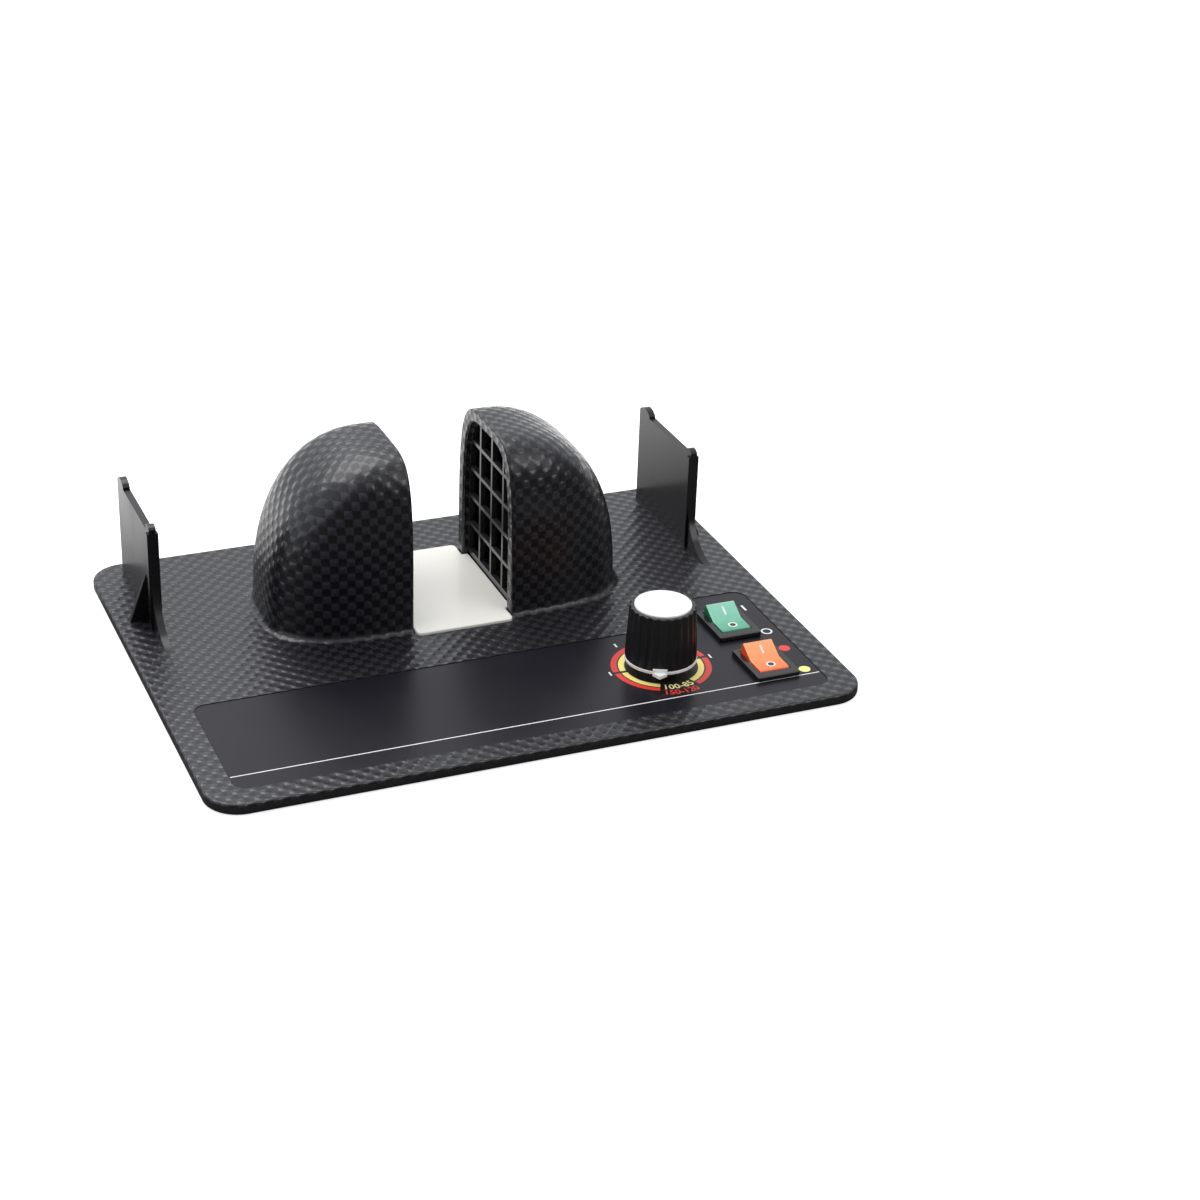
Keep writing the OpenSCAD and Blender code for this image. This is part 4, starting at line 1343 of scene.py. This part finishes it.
@dataclass
class RockerSwitch(DeckPart):
    """Small illuminated rocker switch: black bezel and body, tinted lens with its marks."""

    name: str
    body: Body
    y: float
    lens_slot: str
    x: float = 88.8
    bezel: Spot = (16.2, 21.6)
    bezel_span: Spot = (-0.2, 1.6)
    bezel_corner: float = 0.8
    bezel_edge: float = 0.45
    bezel_shift: float = 0.9
    body_span: Spot = (-20.0, 0.2)
    wall: float = 0.9
    play: float = 0.3
    well_room: float = 1.2
    well_height: float = 20.0
    rocker_w: float = 11.2
    reach: float = 8.1
    end_drop: float = 1.5
    pin_z: float = 0.7
    pin_r: float = 0.7
    pin_length: float = 2.7
    pin_out: float = 0.35
    face: float = 1.3
    angle: float = math.radians(28)
    keel: float = 4.5
    keel_half: float = 3.0
    edge: float = 0.45
    crease: float = math.radians(28)
    ink: float = 0.04
    mark_i: Triple = (0.3, 3.3, 3.5)
    bar_w: float = 0.75
    mark_o: Spot = (0.1, -4.5)
    ring: Spot = (1.1, 1.65)
    eye_r: float = 1.15
    eye_t: float = 0.03

    def build(self, black: Material, lens: Material, white: Material) -> None:
        """Makes the bezel with its body, the lens, the marks and the eye.

        Args:
            black: Material of the bezel and the eye.
            lens: Material of the rocker.
            white: Ink of the marks.
        """
        self._bezel(black)
        level = self.pin_z + self.face
        at = (self.x + self.mark_o[0], self.y + self.mark_o[1])
        for name, shape, finish, slot, node in (
            ("_rocker_lens", self._lens, lens, self.lens_slot, self.name + "_rocker"),
            ("_rocker_marks", self._marks, white, self.lens_slot, ""),
            # The dark eye that the O is printed round.
            ("_rocker_eye", lambda bm: rod(bm, self.eye_r, level, level + self.eye_t, at, 32),
             black, "switch_black", ""),
        ):
            self.piece(self.name + name, shape, finish, self.body, slot, node)

    def _bezel(self, black: Material) -> None:
        """Makes the flange with softened edges over a hollow body.

        Args:
            black: Its material.
        """
        hole = (self.rocker_w + 2 * self.play, 2 * (self.reach + self.play))
        outer = [length + 2 * self.wall for length in hole]
        low, high = self.bezel_span
        flange = ((*self.bezel, high - low), (self.x, self.y - self.bezel_shift, (low + high) / 2),
                  self.bezel_corner, self.bezel_edge)
        low, high = self.body_span
        lower = ((*outer, high - low), (self.x, self.y, (low + high) / 2))
        low = self.pin_z - self.keel - self.well_room
        well = ((*hole, self.well_height), (self.x, self.y, low + self.well_height / 2))
        boxes = (flange, lower, well)
        piece, body, room = (
            self.solid(self.name + "_bezel", lambda bm: block(bm, *box)) for box in boxes
        )
        combine(piece, body, Cut.ADD)
        combine(piece, room, Cut.TAKE)
        shade(piece)
        place(piece, black, Body.CASING, self.name + "_switch_body")

    def _outline(self) -> list[Spot]:
        """Gives the side view of the rocker, from the front end over the top, about its pin.

        Returns:
            Its points, as places along the rocker and heights.
        """
        lean, reach, face = math.tan(self.angle), self.reach, self.face
        front = -math.sqrt(reach**2 - face**2)
        a, b, c = 1 + lean**2, 2 * face * lean, face**2 - reach**2
        rear = (-b + math.sqrt(b * b - 4 * a * c)) / (2 * a)
        high = face + rear * lean
        start, stop = math.atan2(high, rear), -math.asin(self.end_drop / reach)
        first, last = math.pi - stop, math.pi - math.asin(face / reach)
        rear_end, front_end = (
            [(reach * math.cos(t), reach * math.sin(t)) for t in turns]
            for turns in ([start + (stop - start) * k / 8 for k in range(1, 9)],
                          [first + (last - first) * k / 5 for k in range(5)])
        )
        keel = [(self.keel_half, -self.keel), (-self.keel_half, -self.keel)]
        return [(front, face), (0.0, face), (rear, high), *rear_end, *keel, *front_end]

    def _lens(self, bm: BMesh) -> None:
        """Draws the rocker, its top a shallow V with softened edges, and its pins.

        Args:
            bm: Mesh to draw in.
        """
        half = self.rocker_w / 2
        face = bm.faces.new([bm.verts.new((-half, y, z)) for y, z in self._outline()])
        out = bmesh.ops.extrude_face_region(bm, geom=[face])["geom"]
        far = [g for g in out if isinstance(g, BMVert)]
        bmesh.ops.translate(bm, vec=(self.rocker_w, 0, 0), verts=far)
        bmesh.ops.recalc_face_normals(bm, faces=bm.faces)
        sharp = [e for e in bm.edges if e.calc_face_angle_signed(0) > self.crease]
        soften(bm, sharp, self.edge, 4)
        turn = Matrix.Rotation(math.pi / 2, 4, "Y")
        for side in Side:
            spot = Matrix.Translation((side.value * (half + self.pin_out), 0, 0))
            bmesh.ops.create_cone(bm, cap_ends=True, segments=32, radius1=self.pin_r,
                                  radius2=self.pin_r, depth=self.pin_length, matrix=spot @ turn)
        bmesh.ops.translate(bm, vec=(self.x, self.y, self.pin_z), verts=bm.verts)

    def _marks(self, bm: BMesh) -> None:
        """Draws the I on the raised half and the O on the pressed half.

        Args:
            bm: Mesh to draw in.
        """
        level = self.pin_z + self.face
        across, along, length = self.mark_i
        block(bm, (self.bar_w, length, self.ink), (0, 0, 0))
        height = level + along * math.tan(self.angle) + self.ink / 2
        spot = Matrix.Translation((self.x + across, self.y + along, height))
        bm.transform(spot @ Matrix.Rotation(self.angle, 4, "X"))
        at = (self.x + self.mark_o[0], self.y + self.mark_o[1])
        washer(bm, self.ring, level, level + self.ink, at)


# ------------------------------------------------------------------ stage


@dataclass
class Studio:
    """Camera, lamps and the white counter round the warmer."""

    deck_z: float
    underside: float
    camera_at: Triple = (-269.55, -729.2, 414.06)
    azimuth: float = math.radians(-23.77)
    elevation: float = math.radians(27.35)
    roll: float = math.radians(2.22)
    lens: float = 74.68
    bright_side: Triple = (-0.25, 0.75, 0.6)
    room_span: Spot = (-0.45, 0.4)
    room_levels: Spot = (0.1, 1.0)
    cut_out: Spot = (103.0, 78.0)
    counter_half: float = 6000.0
    counter_drop: float = 0.03
    aim_y: float = 0.02

    def build(self, counter: Material) -> None:
        """Sets the stage.

        Args:
            counter: Material of the counter.
        """
        self._camera()
        self._counter(counter)
        self._world()
        self._lamps()

    @staticmethod
    def _stand(name: str, data: bpy.types.ID, matrix: Matrix) -> Object:
        """Puts a camera or a lamp on the stage.

        Args:
            name: Its name.
            data: Its settings.
            matrix: Its place and turn.

        Returns:
            Its object.
        """
        made = bpy.data.objects.new(name, data)
        bpy.context.scene.collection.objects.link(made)
        made.matrix_world = matrix
        return made

    def _camera(self) -> None:
        """Puts the camera at the photograph's place."""
        a, e, r = self.azimuth, self.elevation, self.roll
        forward = Vector((-math.sin(a) * math.cos(e), math.cos(a) * math.cos(e), -math.sin(e)))
        right = Vector((math.cos(a), math.sin(a), 0))
        up = right.cross(forward)
        rolled = math.cos(r) * right + math.sin(r) * up, math.cos(r) * up - math.sin(r) * right
        turn = Matrix((*rolled, -forward)).transposed().to_4x4()
        spot = Vector(self.camera_at) * MM + Vector((0, 0, self.deck_z))
        data = bpy.data.cameras.new("camera")
        data.lens, data.sensor_width, data.sensor_fit = self.lens, 36.0, "HORIZONTAL"
        data.clip_start, data.clip_end = 0.01, 50
        bpy.context.scene.camera = self._stand("camera", data, Matrix.Translation(spot) @ turn)

    def _counter(self, counter: Material) -> None:
        """Lays the counter's top, with its cut-out, just under the deck.

        Args:
            counter: Its material.
        """
        bm = bmesh.new()
        z = self.underside - self.counter_drop * MM
        inner, outer = (
            [bm.verts.new((sx * x * MM, sy * y * MM, z)) for sx, sy in QUARTERS]
            for x, y in (self.cut_out, (self.counter_half, self.counter_half))
        )
        for k in range(4):
            bm.faces.new((inner[k - 1], outer[k - 1], outer[k], inner[k]))
        bmesh.ops.recalc_face_normals(bm, faces=bm.faces)
        floor = make_object("counter", bm)
        floor.data.materials.append(counter)

    def _world(self) -> None:
        """Makes a white room: bright behind and above the warmer, dim behind the camera."""
        world = bpy.data.worlds.new("studio")
        bpy.context.scene.world = world
        world.use_nodes = True
        tree = world.node_tree
        tree.nodes.clear()
        path = add(tree, "LightPath").outputs
        seen = add(tree, "Math", path["Is Camera Ray"], path["Is Transmission Ray"],
                   operation="MAXIMUM")
        view = add(tree, "TexCoord").outputs["Generated"]
        toward = add(tree, "VectorMath", view, self.bright_side, operation="DOT_PRODUCT")
        level = add(tree, "MapRange", toward.outputs["Value"], *self.room_span, *self.room_levels,
                    interpolation_type="SMOOTHSTEP")
        room = add(tree, "Background", linear("#f4f6fa"), level)
        white = add(tree, "Background", WHITE, 1.0)
        add(tree, "OutputWorld", add(tree, "MixShader", seen, room, white))

    def _lamps(self) -> None:
        """Hangs a broad softbox over the rear left, and a weak one over the front right."""
        # Places over the deck and sizes are metres here, and powers are watts.
        aim = Vector((0, self.aim_y, self.deck_z))
        for name, spot, size, power in (("overhead_softbox", (-0.25, 0.55, 1.15), 1.1, 11.0),
                                        ("front_softbox", (0.7, -0.9, 0.9), 0.8, 4.5)):
            data = bpy.data.lights.new(name, "AREA")
            data.shape, data.size, data.energy = "SQUARE", size, power
            at = Vector(spot) + Vector((0, 0, self.deck_z))
            turn = (aim - at).to_track_quat("-Z", "Y").to_matrix().to_4x4()
            self._stand(name, data, Matrix.Translation(at) @ turn)


# ------------------------------------------------------------------ the whole warmer


@dataclass
class FrameWarmer:
    """The whole unit, built sub-assembly by sub-assembly, and its stock of finishes."""

    deck_z: float
    made: dict[str, Material] = field(default_factory=dict)

    def get(self, finish: Finish) -> Material:
        """Builds a finish once, and hands it out again after that.

        Args:
            finish: The finish.

        Returns:
            Its material.
        """
        if finish.name not in self.made:
            self.made[finish.name] = finish.build()
        return self.made[finish.name]

    def dress(self, node: str, finish: Finish) -> None:
        """Puts a finish on a drawn part that keeps its own mesh.

        Args:
            node: Name of the part.
            finish: Its finish.
        """
        materials = bpy.data.objects[node].data.materials
        materials.clear()
        materials.append(self.get(finish))

    def build(self) -> None:
        """Makes every piece and dresses every drawn part."""
        self._cover()
        self._controls()
        self._works()

    def _cover(self) -> None:
        """Makes the cover, the grilles, the panel and the rests."""
        TopCover(self.deck_z).build(self.get(WovenCover(edge_z=self.deck_z - MM)))
        grille = Moulding("gloss_black_abs_grille", "#2a2a2c", 0.3, 0.6, 0.01, coat=0.3)
        rest = Moulding("satin_grey_abs_rest", "#141315", 0.22, 0.4, 0.02)
        ivory = Moulding("ivory_polished_abs", "#fbf9f1", 0.2, 1.2, 0.01, mottle=0.02)
        for side in Side:
            SoftenedPart(side.word + "_grille", "grille_black", 0.3).build(self.get(grille))
            SoftenedPart(side.word + "_temple_rest", "rest_grey", 0.5, 3).build(self.get(rest))
        SoftenedPart("floor_panel", "ivory_panel", 0.5, 3).build(self.get(ivory))

    def _controls(self) -> None:
        """Makes the label, its prints, the knob and the switches."""
        film = Moulding("gloss_polycarbonate_film", "#15131b", 0.3, 0.8, 0.01, drift=0.02, ior=1.36)
        self.dress("control_label", film)
        colours = {"black": "#141316", "red": "#df3a33", "yellow": "#fdf08c", "pale": "#f8efb0",
                   "white": "#e9e9e6"}
        inks = {name: self.get(Ink(name + "_screen_ink", code)) for name, code in colours.items()}
        LabelPrint(self.deck_z).build(inks)
        black = Moulding("satin_black_abs_knob", "#101012", 0.36, 0.5, 0.02, coat=0.2)
        white = Moulding("gloss_white_abs", "#f8f8f6", 0.3, 0.8, 0.01, mottle=0.01)
        Knob(self.deck_z).build(self.get(black), self.get(white))
        bezel = Moulding("gloss_black_nylon", "#121215", 0.24, 0.4, 0.01, coat=0.1)
        # Each lens: pale tint painted as a reflection on its rear, deep tint, darker colour painted as
        # shade on its sides, and glow power.
        for name, body, y, tint, *looks in (
            ("power", Body.POWER, -28.5, "green", "#8ac9b3", "#2f9069", "#1c6b4c", 0.1),
            ("range", Body.RANGE, -59.1, "orange", "#e59c68", "#d65a14", "#cf4812", 0.26),
        ):
            lens = LitLens(tint + "_tinted_polycarbonate", *looks, middle_y=y)
            switch = RockerSwitch(self.deck_z, name, body, y, tint + "_lens")
            switch.build(self.get(bezel), self.get(lens), inks["white"])

    def _works(self) -> None:
        """Makes or dresses everything below the deck."""
        housing = Moulding("spark_eroded_black_abs", "#1b1b1d", 0.62, 0.7, 0.06)
        rubber = Moulding("matt_black_rubber", "#141414", 0.8, 0.3, 0.03)
        SoftenedPart("lower_housing", "housing_black", 0.6).build(self.get(housing))
        SoftenedPart("housing_base", "housing_black", 0.4).build(self.get(housing))
        SoftenedPart("cord_bushing", "bushing_rubber", 0.5, 3).build(self.get(rubber))
        zinc = Metal("zinc_plated_steel", "#b9b8b0", 0.3)
        bare = Metal("bare_aluminium", "#c9cacc", 0.34, 0.4, 1)
        tinned = Metal("tinned_brass", "#c4beac", 0.28, 0.2, 2)
        nylon = Moulding("glass_filled_nylon", "#1d1d1f", 0.5, 0.4, 0.03)
        paired = {
            "air_duct": Metal("galvanised_steel_sheet", "#a9adb0", 0.42, 1.4),
            "heater_frame": Moulding("pressed_mica_board", "#9b8357", 0.6, 1.6, 0.05, mottle=0.2),
            "heater_fins": bare,
            "thermal_cutout": zinc,
            "fan_frame": nylon,
            "fan_motor": Metal("enamelled_copper_winding", "#9c5a2c", 0.36, 0.3, 0),
            "impeller": nylon,
        }
        single = {
            "regulator_body": Moulding("dark_phenolic_moulding", "#2d241c", 0.45, 0.6, 0.03,
                                       mottle=0.15),
            "power_switch_terminals": tinned,
            "range_switch_terminals": tinned,
            "control_board": CircuitBoard(),
            "heat_sink": bare,
            "board_capacitor": Moulding("dipped_film_capacitor", "#b08a2a", 0.35, 1.0, 0.03),
            "board_relay": Moulding("blue_moulded_relay_case", "#2a4f9e", 0.35, 0.6, 0.02),
            "terminal_block": Moulding("green_terminal_moulding", "#2f7f47", 0.45, 0.6, 0.02),
        }
        for part in ("regulator_shaft", "regulator_nut", "duct_screws", "fan_screws",
                     "board_screws", "housing_screws"):
            single[part] = zinc
        for side in Side:
            single |= {f"{side.word}_{part}": finish for part, finish in paired.items()}
        for node, finish in single.items():
            self.dress(node, finish)


def main() -> None:
    """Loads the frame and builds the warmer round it."""
    logging.basicConfig(level=logging.INFO, format="%(name)s: %(message)s")
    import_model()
    bpy.context.scene.view_settings.view_transform = "Standard"
    housing_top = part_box("lower_housing")[1].z
    deck_z = housing_top + TopCover.thickness * MM
    Studio(deck_z, housing_top).build(WhiteCounter().build())
    FrameWarmer(deck_z).build()
    bpy.context.view_layer.update()


if __name__ == "__main__":
    main()
